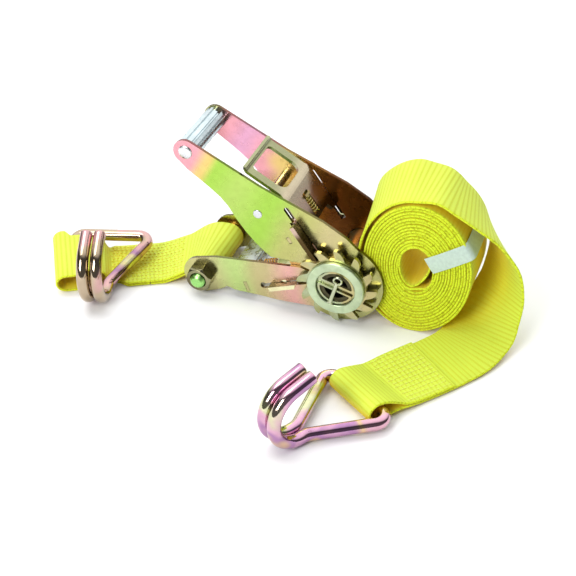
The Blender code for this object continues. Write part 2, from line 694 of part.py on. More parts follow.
def webbing(columns, station, edges):
    """Webbing with an opening through it: each column (s, low, opening low, opening high, high).

    edges(s) gives its two edges' offsets from the centreline."""
    bm = bmesh.new()
    rings = []
    for s, *levels in columns:
        centre, normal, across = station(s)
        side = []
        for w in edges(s):
            at = [bm.verts.new(centre + normal * n + across * w) for n in levels]
            if levels[2] - levels[1] < 1e-6:
                bm.verts.remove(at[2])
                at[2] = at[1]
            side.append(at)
        rings.append(side)
    for a, b in zip(rings, rings[1:]):
        for i, j in ((0, 1), (2, 3)):
            for k in (0, 1):
                bm.faces.new((a[k][i], a[k][j], b[k][j], b[k][i]))
        for i in (0, 3):
            bm.faces.new((a[0][i], b[0][i], b[1][i], a[1][i]))
        if a[0][1] is not a[0][2] or b[0][1] is not b[0][2]:
            for i in (1, 2):
                bm.faces.new((a[0][i], b[0][i], b[1][i], a[1][i]))
    for ring in (rings[0], rings[-1]):
        for i, j in ((0, 1), (2, 3)):
            bm.faces.new((ring[0][i], ring[0][j], ring[1][j], ring[1][i]))
    return bm


def half_round(s, centre, radius):
    """Half height of a circle at s."""
    return sqrt(max(0.0, radius**2 - (s - centre) ** 2))


def round_stops(centre, radius, way, steps=6):
    """Values of s spaced evenly round a half circle that opens away from way."""
    return [centre + way * radius * sin(radians(90 * k / steps)) for k in range(steps + 1)]


def short_heading(s):
    return radians(180 + 31 * (1 - exp(-max(0, s) / 25.0)))


SHORT_LENGTH = 126.0
SHORT_PINCH = 6.0  # how far its edges are pushed in between the wires of the hook
SHORT_LOW, SHORT_HIGH = 2.5, 12.7  # height of the layers on the floor, and at the eye
SHORT_EYE = 6.3  # half height of the opening round the hook wire
SHORT_DOUBLE = WEB_T + 0.1  # half thickness of the two sewn layers


def short_level(s):
    """Height and slope of the strap's centreline, and how much its width leans."""
    lift, eye = (s - 6) / 42, (s - 78) / 30
    z = BOLT_Z + (SHORT_LOW - BOLT_Z) * smooth(lift) + (SHORT_HIGH - SHORT_LOW) * smooth(eye)
    slope = (SHORT_LOW - BOLT_Z) * smooth_slope(lift) / 42
    slope += (SHORT_HIGH - SHORT_LOW) * smooth_slope(eye) / 30
    return z, slope, 0.165 * smooth((s - 70) / 34)


def short_station(s):
    step, x, y, u = 2.0, BOLT_X, 0.0, 0.0
    while u < s - 1e-9:
        d = min(step, s - u)
        h = short_heading(u + d / 2)
        x, y, u = x + d * cos(h), y + d * sin(h), u + d
    h = short_heading(s)
    if s < 0:
        x, y = BOLT_X + s * cos(h), s * sin(h)
    z, slope, lean = short_level(s)
    pitch = atan2(slope, 1)
    way = Vector((cos(h) * cos(pitch), sin(h) * cos(pitch), sin(pitch)))
    across = Vector((-sin(h), cos(h), -lean)).normalized()
    across = (across - way * across.dot(way)).normalized()
    return Vector((x, y, z)), across.cross(way), across


def smooth(t):
    t = max(0.0, min(1.0, t))
    return t * t * (3 - 2 * t)


def smooth_slope(t):
    return 6 * t * (1 - t) if 0 < t < 1 else 0.0


def short_edges(s):
    far = smooth((s - 78) / 10) * (1 - smooth((s - 111) / 6))
    near = smooth((s - 71) / 9) * (1 - smooth((s - 101) / 8))
    return SHORT_PINCH * far - WEB_W / 2, WEB_W / 2 - SHORT_PINCH * near


def short_strap():
    """Two layers sewn together, one eye round the anchor sleeve and one round the hook."""
    r_in = SLEEVE_R + 0.7
    r_out = r_in + WEB_T
    eye_out = SHORT_EYE + WEB_T
    far = SHORT_LENGTH - eye_out
    first_end, second_start, second_full = 25.0, 83.0, 94.0
    ends = round_stops(0, r_out - 0.05, -1)[1:] + round_stops(0, r_in, -1)
    ends += round_stops(far, eye_out - 0.05, 1)[1:] + round_stops(far, SHORT_EYE, 1)
    stops = sorted({round(s, 3) for s in ends + spaced(3, far, 3.2) + [first_end, second_start]})
    columns = []
    for s in stops:
        if s < 3:
            outer, inner = half_round(s, 0, r_out), half_round(s, 0, r_in)
            if s > 0:
                outer, inner = r_out, r_in
        elif s < far:
            open_ = 1 - smooth((s - 3) / (first_end - 3))
            inner = r_in * open_
            if s > second_start:
                inner = SHORT_EYE * smooth((s - second_start) / (second_full - second_start))
            outer = max(SHORT_DOUBLE, inner + WEB_T)
        else:
            outer, inner = half_round(s, far, eye_out), half_round(s, far, SHORT_EYE)
        under, under_in = outer, inner
        if s > first_end:
            z, _, lean = short_level(s)
            under = min(outer, z - lean * short_edges(s)[1] - FLOOR_GAP)
            under_in = min(inner, under - WEB_T) if inner else 0.0
        columns.append((s, -outer, -inner, under_in, under))
    return webbing(columns, short_station, short_edges)


place("short_strap", short_strap(), YELLOW, (BOLT_X, 0, BOLT_Z))


def catmull(points, t):
    """A smooth value through evenly numbered rows at position t."""
    i = max(0, min(len(points) - 2, int(t)))
    f = t - i
    p = [points[max(0, min(len(points) - 1, i + k))] for k in (-1, 0, 1, 2)]
    return [
        0.5 * (2 * b + (c - a) * f + (2 * a - 5 * b + 4 * c - d) * f * f
               + (3 * b - a - 3 * c + d) * f**3)
        for a, b, c, d in zip(*p)
    ]


RUN_TURN = radians(235)  # the floor run's heading at the long hook


def wrap_rows():
    """Rows (centre, width direction) of the loose turn and the floor run, roll end first."""
    rows = []
    for turn, lean in ((196, 0), (178, 0.6), (160, 2.4), (142, 4.2), (124, 3.8), (107, 3.0), (92, 1.2)):
        t = radians(turn)
        out = Vector((cos(t) / ROLL_A, 0, sin(t) / ROLL_B)).normalized() * lean
        x, z = (ROLL_A + 1.9) * cos(t), (ROLL_B + 1.9) * sin(t)
        side = -out / (WEB_W / 2)
        side.y = -sqrt(1 - side.length_squared)
        rows.append((ROLL_X + x + out.x, 0, ROLL_Z + z + out.z, *side))
    rows += [
        (64.5, -0.6, 109.6, 0.05, -0.99, 0.02),
        (76.5, -1.0, 104.0, 0.155, -0.985, 0.04),
        (89.6, 0.4, 94.3, 0.285, -0.955, 0.05),
        (101.8, 2.0, 79.8, 0.45, -0.89, 0.06),
        (110.3, 3.4, 59.5, 0.57, -0.82, 0.03),
        (112.2, 2.6, 38.5, 0.66, -0.75, -0.01),
        (109.2, -2.6, 21.6, 0.74, -0.67, -0.07),
        (104.6, -12.8, 11.2, 0.80, -0.59, -0.10),
        (100.4, -25.4, 6.6, 0.83, -0.55, -0.08),
        (94.8, -39.2, 4.6, 0.82, -0.565, -0.06),
        (85.4, -53.2, 4.1, 0.81, -0.58, -0.06),
        (75.2, -66.5, 3.9, 0.79, -0.61, -0.06),
        (64.8, -79.3, 3.8, 0.80, -0.60, -0.05),
    ]
    way = Vector((cos(RUN_TURN), sin(RUN_TURN), 0))
    for back in (24.0, 12.0, 0.0, -11.0):
        c = LONG_HOOK_AT - way * back
        z = 4.0 + (LONG_HOOK_AT.z - 4.0) * smooth((26.0 - back) / 24.0)
        rows.append((c.x, c.y, z, -way.y, way.x, 0))
    return rows


ROWS = wrap_rows()
SAMPLES = []
for i in range(8 * (len(ROWS) - 1) + 1):
    v = catmull(ROWS, i / 8)
    SAMPLES.append((Vector(v[:3]), Vector(v[3:]).normalized()))
LENGTHS = [0.0]
for a, b in zip(SAMPLES, SAMPLES[1:]):
    LENGTHS.append(LENGTHS[-1] + (b[0] - a[0]).length)


def length_at(row):
    """Arc length at a row number."""
    return LENGTHS[8 * row]


def long_station(s):
    i = 0
    while i < len(LENGTHS) - 2 and LENGTHS[i + 1] < s:
        i += 1
    f = (s - LENGTHS[i]) / (LENGTHS[i + 1] - LENGTHS[i])
    centre = SAMPLES[i][0].lerp(SAMPLES[i + 1][0], f)
    across = SAMPLES[i][1].lerp(SAMPLES[i + 1][1], f).normalized()
    a, b = SAMPLES[max(0, i - 1)][0], SAMPLES[min(len(SAMPLES) - 1, i + 2)][0]
    way = (b - a).normalized()
    across = (across - way * across.dot(way)).normalized()
    return centre, across.cross(way), across


BAR_S = length_at(len(ROWS) - 2)  # where the long hook's base bar crosses the strap
LONG_EYE = 5.8
LONG_EYE_W = 43.6
SEWN = 62.0  # length of the sewn double layer behind the eye


def long_edges(s):
    half = (WEB_W + (LONG_EYE_W - WEB_W) * smooth((s - BAR_S + 26) / 23)) / 2
    return -half, half


def long_run():
    """The loose outer turn and the floor run, doubled and sewn at the hook's eye."""
    single, outside = WEB_T / 2, LONG_EYE + WEB_T
    double_from, opening_from, far = BAR_S - SEWN, BAR_S - 24.0, BAR_S + 1.5
    ends = round_stops(far, outside - 0.05, 1)[1:] + round_stops(far, LONG_EYE, 1)
    marks = [double_from, double_from + 1.2, opening_from]
    stops = sorted({round(s, 3) for s in spaced(0, far, 4.6) + ends + marks})
    columns = []
    for s in stops:
        inner, middle = 0.0, 0.0
        if s < far:
            down = single + WEB_T * max(0.0, min(1.0, (s - double_from) / 1.2))
            up = single
            if s > opening_from:
                ease = smooth((s - opening_from) / (far - opening_from))
                inner, middle = LONG_EYE * ease, -single * (1 - ease)
                up = max(up, middle + inner + WEB_T)
                down = max(down, inner + WEB_T - middle)
        else:
            inner = half_round(s, far, LONG_EYE)
            up = down = half_round(s, far, outside)
        if s >= double_from and inner == 0 and s < far:
            middle = -single
        columns.append((s, -down, middle - inner, middle + inner, up))
    return webbing(columns, long_station, long_edges)


place("long_strap_run", long_run(), YELLOW)

roll = upright(
    [(ROLL_X + ROLL_A * cos(t), ROLL_Z + ROLL_B * sin(t)) for t in
     (2 * pi * k / 56 for k in range(56))], [], -WEB_W / 2, WEB_W / 2)
place("long_strap_roll", roll, YELLOW, (ROLL_X, 0, ROLL_Z))

BAND_TURN = radians(34)
BAND_IN = 11.0  # the band starts this far out from the roll's centre
BAND_END_Y = 4.0  # and ends here on the outer turn


def roll_band():
    """Paper band on the roll: down its front face and over its outer turn."""
    c, s = cos(BAND_TURN), sin(BAND_TURN)
    reach = 1 / sqrt((c / ROLL_A) ** 2 + (s / ROLL_B) ** 2)
    y_in, y_out = WEB_W / 2 + GAP, WEB_W / 2 + GAP + BAND_T
    skin, edge = reach + 1.4, 0.8
    outline = [(BAND_IN, -y_out), (skin, -y_out), (skin + BAND_T, edge - y_out)]
    outline += [(skin + BAND_T, BAND_END_Y), (skin, BAND_END_Y)]
    outline += [(skin, 0.4 - y_in), (skin - 0.4, -y_in), (BAND_IN, -y_in)]
    bm = flat(outline, (), BAND_W)
    seat = Matrix(((c, 0, -s, ROLL_X), (0, 1, 0, 0), (s, 0, c, ROLL_Z), (0, 0, 0, 1)))
    bmesh.ops.transform(bm, matrix=seat, verts=bm.verts)
    return bm


place("roll_band", roll_band(), WHITE, (ROLL_X, 0, ROLL_Z))

# the origin: the centre of the bounding box, on the floor
corners = [obj.matrix_world @ v.co for obj in strap.objects for v in obj.data.vertices]
low = [min(c[k] for c in corners) for k in range(3)]
high = [max(c[k] for c in corners) for k in range(3)]
for obj in strap.objects:
    obj.location -= Vector(((low[0] + high[0]) / 2, (low[1] + high[1]) / 2, low[2]))
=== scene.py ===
from math import acos, atan2, cos, exp, pi, radians, sin, sqrt
from random import Random

import bmesh
import bpy
from mathutils import Matrix, Vector


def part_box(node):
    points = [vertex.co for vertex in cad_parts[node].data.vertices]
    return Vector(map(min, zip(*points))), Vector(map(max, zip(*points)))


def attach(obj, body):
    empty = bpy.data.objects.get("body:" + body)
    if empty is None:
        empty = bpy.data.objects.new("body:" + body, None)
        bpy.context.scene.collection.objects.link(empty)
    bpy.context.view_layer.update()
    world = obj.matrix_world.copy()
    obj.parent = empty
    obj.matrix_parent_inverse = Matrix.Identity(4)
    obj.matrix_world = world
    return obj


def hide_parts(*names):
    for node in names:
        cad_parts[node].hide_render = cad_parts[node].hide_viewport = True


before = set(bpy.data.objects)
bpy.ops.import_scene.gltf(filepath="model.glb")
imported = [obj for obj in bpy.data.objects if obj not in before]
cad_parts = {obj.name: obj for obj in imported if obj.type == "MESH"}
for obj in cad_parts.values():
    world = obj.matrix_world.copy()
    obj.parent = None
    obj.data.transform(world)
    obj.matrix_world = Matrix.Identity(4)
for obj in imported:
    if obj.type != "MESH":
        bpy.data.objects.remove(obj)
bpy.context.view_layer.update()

# Dimensions in millimetres. The mandrel axis is X 0, along Y; the floor is Z 0.
AXIS_Z = 32.9
HANDLE_Y = (26.0, 28.5)  # inner and outer face of a handle plate
FRAME_Y = (28.9, 31.4)  # and of a frame plate
GAP = 0.3
BOLT_X, BOLT_Z = -105.5, 15.1
BOLT_R = 5.5
SLEEVE_R = 8.0
NUT_R = 10.4  # to its corners
GRIP_X, GRIP_Z = -115.0, AXIS_Z + 83.0
TIE_X, TIE_Z = -61.5, AXIS_Z + 43.6
TIE_R = 3.5
SHAFT_R, SHAFT_WALL, SHAFT_SLOT, SHAFT_END_Y = 10.9, 1.9, 3.2, 36.4
LIP_R, LIP_BACK = 13.6, 35.25  # the lip at each end of a mandrel half begins at LIP_BACK
PIN_Y = 38.6
RING_R, RING_BORE_R, RING_Y = 21.2, 14.5, (35.1, 38.0)
SLOT_TURN = radians(-15)
HANDLE_LINE = radians(126.1), 1.6  # a pawl's line of travel: direction, offset from the mandrel
FRAME_LINE = radians(200.5), -4.7
WEB_W, WEB_T = 50.0, 2.0
WIRE_R = 4.5  # of the hooks
HOOK_BASE, HOOK_HEIGHT, HOOK_HALF_GAP = 66.0, 53.0, 4.9
HOOK_BEND_R, HOOK_FLARE, HOOK_ARM, HOOK_CORNER_R = 21.6, radians(12), 16.0, 7.0
ROLL_X, ROLL_Z, ROLL_A, ROLL_B = 53.8, 53.7, 39.6, 53.2  # centre and half axes
RIB, RIB_HIGH = 3.4, 0.32  # one rib of the weave: its length along the webbing, its height
COLUMNS = 6  # faces across one side of the webbing
ROW_STEP = 0.85  # between stations of the webbing
WEB_SOLID = WEB_T - 0.14  # thickness at the ribs' crests
FLOOR_GAP = 0.2
THREAD_R = 0.42


def seat_of_frame():
    """The CAD's place of X 0, Y 0, Z 0 above, in metres."""
    low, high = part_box("hub_ring_front")
    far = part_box("hub_ring_rear")[1]
    centre = Vector(((low[0] + high[0]) / 2, (low[1] + far[1]) / 2, (low[2] + high[2]) / 2))
    return centre - Vector((0, 0, AXIS_Z / 1000))


SEAT = seat_of_frame()


# camera, floor and light -----------------------------------------------------------------

SKY_SIDE = (-0.12, 0.62, 0.775)  # towards the bright side of the sky: up and behind the object
SKY = ((0.0, 0.16), (0.10, 0.10), (0.40, 0.12), (0.62, 1.3), (1.0, 1.9))  # its brightness that way
FLOOR_HALF = 4.0


def make_camera():
    turn, lift = radians(20.155), radians(36.824)
    back = Vector((sin(turn) * cos(lift), -cos(turn) * cos(lift), sin(lift)))
    right = Vector((cos(turn), sin(turn), 0))
    rows = Matrix((right, back.cross(right), back)).transposed().to_4x4()
    data = bpy.data.cameras.new("camera")
    data.sensor_width, data.lens = 36, 72.716
    cam = bpy.data.objects.new("camera", data)
    bpy.context.scene.collection.objects.link(cam)
    cam.matrix_world = Matrix.Translation(SEAT + Vector((0.19534, -0.66596, 0.52590))) @ rows
    bpy.context.scene.camera = cam


def area_light(name, at, aim, size, power):
    data = bpy.data.lights.new(name, "AREA")
    data.shape, data.size, data.size_y, data.energy = "RECTANGLE", *size, power
    lamp = bpy.data.objects.new(name, data)
    bpy.context.scene.collection.objects.link(lamp)
    lamp.location = at
    lamp.rotation_euler = (Vector(aim) - Vector(at)).to_track_quat("-Z", "Y").to_euler()


def make_studio():
    world = bpy.data.worlds.new("studio")
    bpy.context.scene.world = world
    world.use_nodes = True
    nodes, links = world.node_tree.nodes, world.node_tree.links
    back = nodes["Background"]
    coords = nodes.new("ShaderNodeTexCoord")
    lean = nodes.new("ShaderNodeVectorMath")
    lean.operation = "DOT_PRODUCT"
    lean.inputs[1].default_value = SKY_SIDE
    ramp = nodes.new("ShaderNodeValToRGB")
    links.new(coords.outputs["Generated"], lean.inputs[0])
    links.new(lean.outputs["Value"], ramp.inputs[0])
    links.new(ramp.outputs[0], back.inputs["Color"])
    ramp.color_ramp.elements[0].position, ramp.color_ramp.elements[1].position = 0, 1
    for place, _ in SKY[1:-1]:
        ramp.color_ramp.elements.new(place)
    for element, (_, grey) in zip(ramp.color_ramp.elements, SKY):
        element.color = (grey, grey, grey * 1.01, 1)
    back.inputs["Strength"].default_value = 0.9
    area_light("key", (-0.5, -0.1, 1.4), (0, 0, 0), (0.8, 0.8), 6)
    area_light("fill", (-0.45, -1.3, 1.0), (0.05, 0, 0.05), (0.7, 0.9), 20)

    mesh = bpy.data.meshes.new("floor")
    corners = [(x * FLOOR_HALF, y * FLOOR_HALF, 0) for x, y in ((-1, -1), (1, -1), (1, 1), (-1, 1))]
    mesh.from_pydata(corners, [], [(0, 1, 2, 3)])
    floor = bpy.data.objects.new("floor", mesh)
    bpy.context.scene.collection.objects.link(floor)
    paper = bpy.data.materials.new("floor_white")
    paper.use_nodes = True
    shader = paper.node_tree.nodes["Principled BSDF"]
    shader.inputs["Base Color"].default_value = (0.93, 0.93, 0.94, 1)
    shader.inputs["Roughness"].default_value = 0.9
    shader.inputs["Specular IOR Level"].default_value = 0.2
    mesh.materials.append(paper)


make_camera()
make_studio()
bpy.context.scene.view_settings.view_transform = "Standard"


# materials -------------------------------------------------------------------------------


class Nodes:
    """A small helper for building one material's node tree."""

    def __init__(self, name):
        self.mat = bpy.data.materials.new(name)
        self.mat.use_nodes = True
        self.tree = self.mat.node_tree
        self.shader = self.tree.nodes["Principled BSDF"]

    def add(self, kind, **settings):
        node = self.tree.nodes.new("ShaderNode" + kind)
        for key, value in settings.items():
            setattr(node, key, value)
        return node

    def link(self, a, b):
        self.tree.links.new(a, b)

    def set(self, socket, value):
        self.shader.inputs[socket].default_value = value

    def coords(self, kind="Object"):
        return self.add("TexCoord").outputs[kind]

    def noise(self, vector, scale, detail=3.0, rough=0.5, distortion=0.0):
        node = self.add("TexNoise")
        node.inputs["Scale"].default_value = scale
        node.inputs["Detail"].default_value = detail
        node.inputs["Roughness"].default_value = rough
        node.inputs["Distortion"].default_value = distortion
        self.link(vector, node.inputs["Vector"])
        return node.outputs["Fac"]

    def math(self, operation, a, b=0.0):
        node = self.add("Math", operation=operation)
        for socket, value in zip(node.inputs, (a, b)):
            if isinstance(value, (int, float)):
                socket.default_value = value
            else:
                self.link(value, socket)
        return node.outputs[0]

    def ramp(self, value, stops):
        node = self.add("ValToRGB")
        ramp = node.color_ramp
        ramp.interpolation = "EASE"
        ramp.elements[0].position, ramp.elements[1].position = stops[0][0], stops[-1][0]
        for place, _ in stops[1:-1]:
            ramp.elements.new(place)
        for element, (_, colour) in zip(ramp.elements, stops):
            element.color = (*colour, 1) if len(colour) == 3 else (*colour * 3, 1)
        self.link(value, node.inputs[0])
        return node.outputs[0]

    def mix(self, share, a, b, kind="MIX"):
        node = self.add("Mix", data_type="RGBA", blend_type=kind)
        for socket, value in ((node.inputs[0], share), (node.inputs[6], a), (node.inputs[7], b)):
            if isinstance(value, (int, float)):
                socket.default_value = value
            elif isinstance(value, tuple):
                socket.default_value = (*value, 1)
            else:
                self.link(value, socket)
        return node.outputs[2]

    def bump(self, height, strength, distance, normal=None):
        node = self.add("Bump")
        node.inputs["Strength"].default_value = strength
        node.inputs["Distance"].default_value = distance
        self.link(height, node.inputs["Height"])
        if normal is not None:
            self.link(normal, node.inputs["Normal"])
        return node.outputs["Normal"]


def plated(name, stops, start, end, patch=14.0, wander=0.30, rough=0.24, seed=0.0, rim=None):
    """Yellow-passivated zinc: film colours drift along a line from start to end, with patches.

    A plate's sheared edge faces, away from Y, are darkened by rim: painted shade."""
    n = Nodes(name)
    at = n.coords()
    a, b = (Vector(p) / 1000 + SEAT for p in (start, end))
    way = (b - a) / (b - a).length_squared
    dot = n.add("VectorMath", operation="DOT_PRODUCT")
    n.link(at, dot.inputs[0])
    dot.inputs[1].default_value = way
    moved = n.add("VectorMath", operation="ADD")
    n.link(at, moved.inputs[0])
    moved.inputs[1].default_value = (seed, seed * 0.7, -seed)
    blot = n.noise(moved.outputs[0], patch, 2.0, 0.45, 0.6)
    t = n.math("ADD", n.math("SUBTRACT", dot.outputs["Value"], way.dot(a)),
               n.math("MULTIPLY", n.math("SUBTRACT", blot, 0.5), wander * 2))
    colour = n.ramp(t, stops)
    fine = n.noise(moved.outputs[0], 160.0, 4.0, 0.6)
    stain = n.ramp(fine, ((0.3, (0.45, 0.40, 0.22)), (0.7, (0.95, 0.95, 0.80))))
    colour = n.mix(0.16, colour, stain, "MULTIPLY")
    # painted shade: faces that do not face along Y are darkened by rim
    if rim:
        facing = n.add("SeparateXYZ")
        n.link(n.coords("Normal"), facing.inputs[0])
        flat = n.math("ABSOLUTE", facing.outputs["Y"])
        colour = n.mix(1.0, colour, n.ramp(flat, ((0.45, rim), (0.90, (1.0, 1.0, 1.0)))), "MULTIPLY")
    n.link(colour, n.shader.inputs["Base Color"])
    n.set("Metallic", 1.0)
    streak = n.noise(moved.outputs[0], 70.0, 5.0, 0.6)
    low, high = rough * 0.75, rough * 1.45
    n.link(n.ramp(streak, ((0.3, (low,)), (0.75, (high,)))), n.shader.inputs["Roughness"])
    grain = n.noise(moved.outputs[0], 900.0, 3.0, 0.6)
    n.link(n.bump(grain, 0.12, 0.0002), n.shader.inputs["Normal"])
    return n.mat


def bright(name, colour, rough=0.26, tab=None):
    """Clear-passivated bright zinc with a faint drift of tint and fine scuffs.

    Tabs that reach into the frame plates take the colour given by tab."""
    n = Nodes(name)
    at = n.coords()
    dark = tuple(c * 0.80 for c in colour)
    film = n.ramp(n.noise(at, 60.0, 3.0), ((0.3, dark), (0.7, colour)))
    if tab:
        place = n.add("SeparateXYZ")
        n.link(at, place.inputs[0])
        off = n.math("ABSOLUTE", n.math("SUBTRACT", place.outputs["Y"], SEAT.y))
        film = n.mix(n.math("GREATER_THAN", off, FRAME_Y[0] / 1000), film, tab)
    n.link(film, n.shader.inputs["Base Color"])
    n.set("Metallic", 1.0)
    n.link(n.ramp(n.noise(at, 250.0, 4.0), ((0.3, (rough * 0.7,)), (0.75, (rough * 1.5,)))),
           n.shader.inputs["Roughness"])
    n.link(n.bump(n.noise(at, 1200.0, 2.0), 0.10, 0.0001), n.shader.inputs["Normal"])
    return n.mat


def woven(name, light, deep, selvedge=False):
    """Polyester webbing: lengthwise yarns crossed by ribs, from the UV map in centimetres.

    Its colour turns from lemon to amber where ambient occlusion finds more webbing close by: painted
    shade in its hollows."""
    n = Nodes(name)
    uv = n.coords("UV")
    split = n.add("SeparateXYZ")
    n.link(uv, split.inputs[0])
    across, along = split.outputs["X"], split.outputs["Y"]
    yarn = n.math("SINE", n.math("MULTIPLY", across, 2 * pi * 8.5))
    half = n.math("MULTIPLY", n.math("GREATER_THAN", yarn, 0.0), pi)
    pick = n.math("SINE", n.math("ADD", n.math("MULTIPLY", along, 2 * pi * 10 / (RIB / 2)), half))
    yarns = n.math("MULTIPLY", n.math("ABSOLUTE", yarn), 0.6)
    weave = n.math("ADD", yarns, n.math("MULTIPLY", pick, 0.4))
    rib = n.math("SINE", n.math("MULTIPLY", along, 2 * pi * 10 / RIB))
    stretched = n.add("Mapping")
    stretched.inputs["Scale"].default_value = (1.0, 0.12, 1.0)
    n.link(uv, stretched.inputs["Vector"])
    fibres = n.noise(stretched.outputs[0], 55.0, 4.0, 0.6)
    cloudy = n.noise(n.coords(), 22.0, 3.0, 0.5)
    tone = n.math("ADD", n.math("MULTIPLY", weave, 0.22), n.math("MULTIPLY", rib, 0.30))
    tone = n.math("ADD", tone, n.math("MULTIPLY", n.math("SUBTRACT", fibres, 0.5), 0.7))
    tone = n.math("ADD", tone, n.math("MULTIPLY", n.math("SUBTRACT", cloudy, 0.5), 0.35))
    tone = n.math("ADD", tone, 0.55)
    if selvedge:
        speck = n.noise(n.coords(), 820.0, 2.0, 0.55)
        speck = n.math("MULTIPLY", n.math("SUBTRACT", speck, 0.36), 2.6)
        tone = n.math("ADD", n.math("MULTIPLY", tone, 0.35), speck)
    colour = n.ramp(tone, ((0.0, deep), (0.75, light)))
    # painted shade: the base colour is mixed towards amber where ambient occlusion is high
    hollow = n.add("AmbientOcclusion", samples=8)
    hollow.inputs["Distance"].default_value = 0.045
    shade = n.ramp(hollow.outputs["AO"], ((0.12, (0.30 if selvedge else 0.80,)), (0.80, (0.0,))))
    n.link(n.mix(shade, colour, AMBER_PAINTED_SHADE), n.shader.inputs["Base Color"])
    n.link(n.ramp(fibres, ((0.3, (0.55,)), (0.7, (0.80,)))), n.shader.inputs["Roughness"])
    n.set("Specular IOR Level", 0.3)
    n.set("Sheen Weight", 0.08)
    n.set("Sheen Roughness", 0.4)
    n.set("Sheen Tint", (1.0, 1.0, 0.7, 1))
    soft = n.bump(weave, 0.55, 0.0003)
    n.link(n.bump(fibres, 0.25, 0.0002, soft), n.shader.inputs["Normal"])
    return n.mat


def paper(name):
    n = Nodes(name)
    at = n.coords()
    fibre = n.noise(at, 400.0, 5.0, 0.65)
    colour = n.ramp(fibre, ((0.25, (0.48, 0.60, 0.54)), (0.75, (0.58, 0.72, 0.64))))
    n.link(colour, n.shader.inputs["Base Color"])
    n.set("Roughness", 0.55)
    n.set("Specular IOR Level", 0.4)
    n.link(n.bump(fibre, 0.2, 0.0002), n.shader.inputs["Normal"])
    return n.mat


# amber of the painted shade in the webbing's hollows
AMBER_PAINTED_SHADE = (0.86, 0.58, 0.002)
OLIVE, BEIGE, LIME = (0.42, 0.42, 0.18), (0.56, 0.49, 0.25), (0.37, 0.61, 0.09)
PINK, ROSE, GOLD = (0.80, 0.36, 0.42), (0.74, 0.38, 0.56), (0.78, 0.56, 0.20)
STRAW, AMBER, BROWN = (0.50, 0.50, 0.18), (0.70, 0.34, 0.07), (0.16, 0.055, 0.01)
GREY_GREEN, GREEN = (0.46, 0.52, 0.34), (0.44, 0.62, 0.14)
EDGE_PAINTED_SHADE = (0.30, 0.27, 0.22)  # painted shade on the sheared edges
# ends of the lines along which the film colours drift
HANDLE_WAY = (-122, 0, 118), (30, 0, 38)
FRAME_WAY = (-120, 0, 10), (24, 0, 50)
ANCHOR_WAY = (-115, 0, 5), (-95, 0, 25)
HOOK_WAY = (-190, -60, 0), (40, 40, 60)

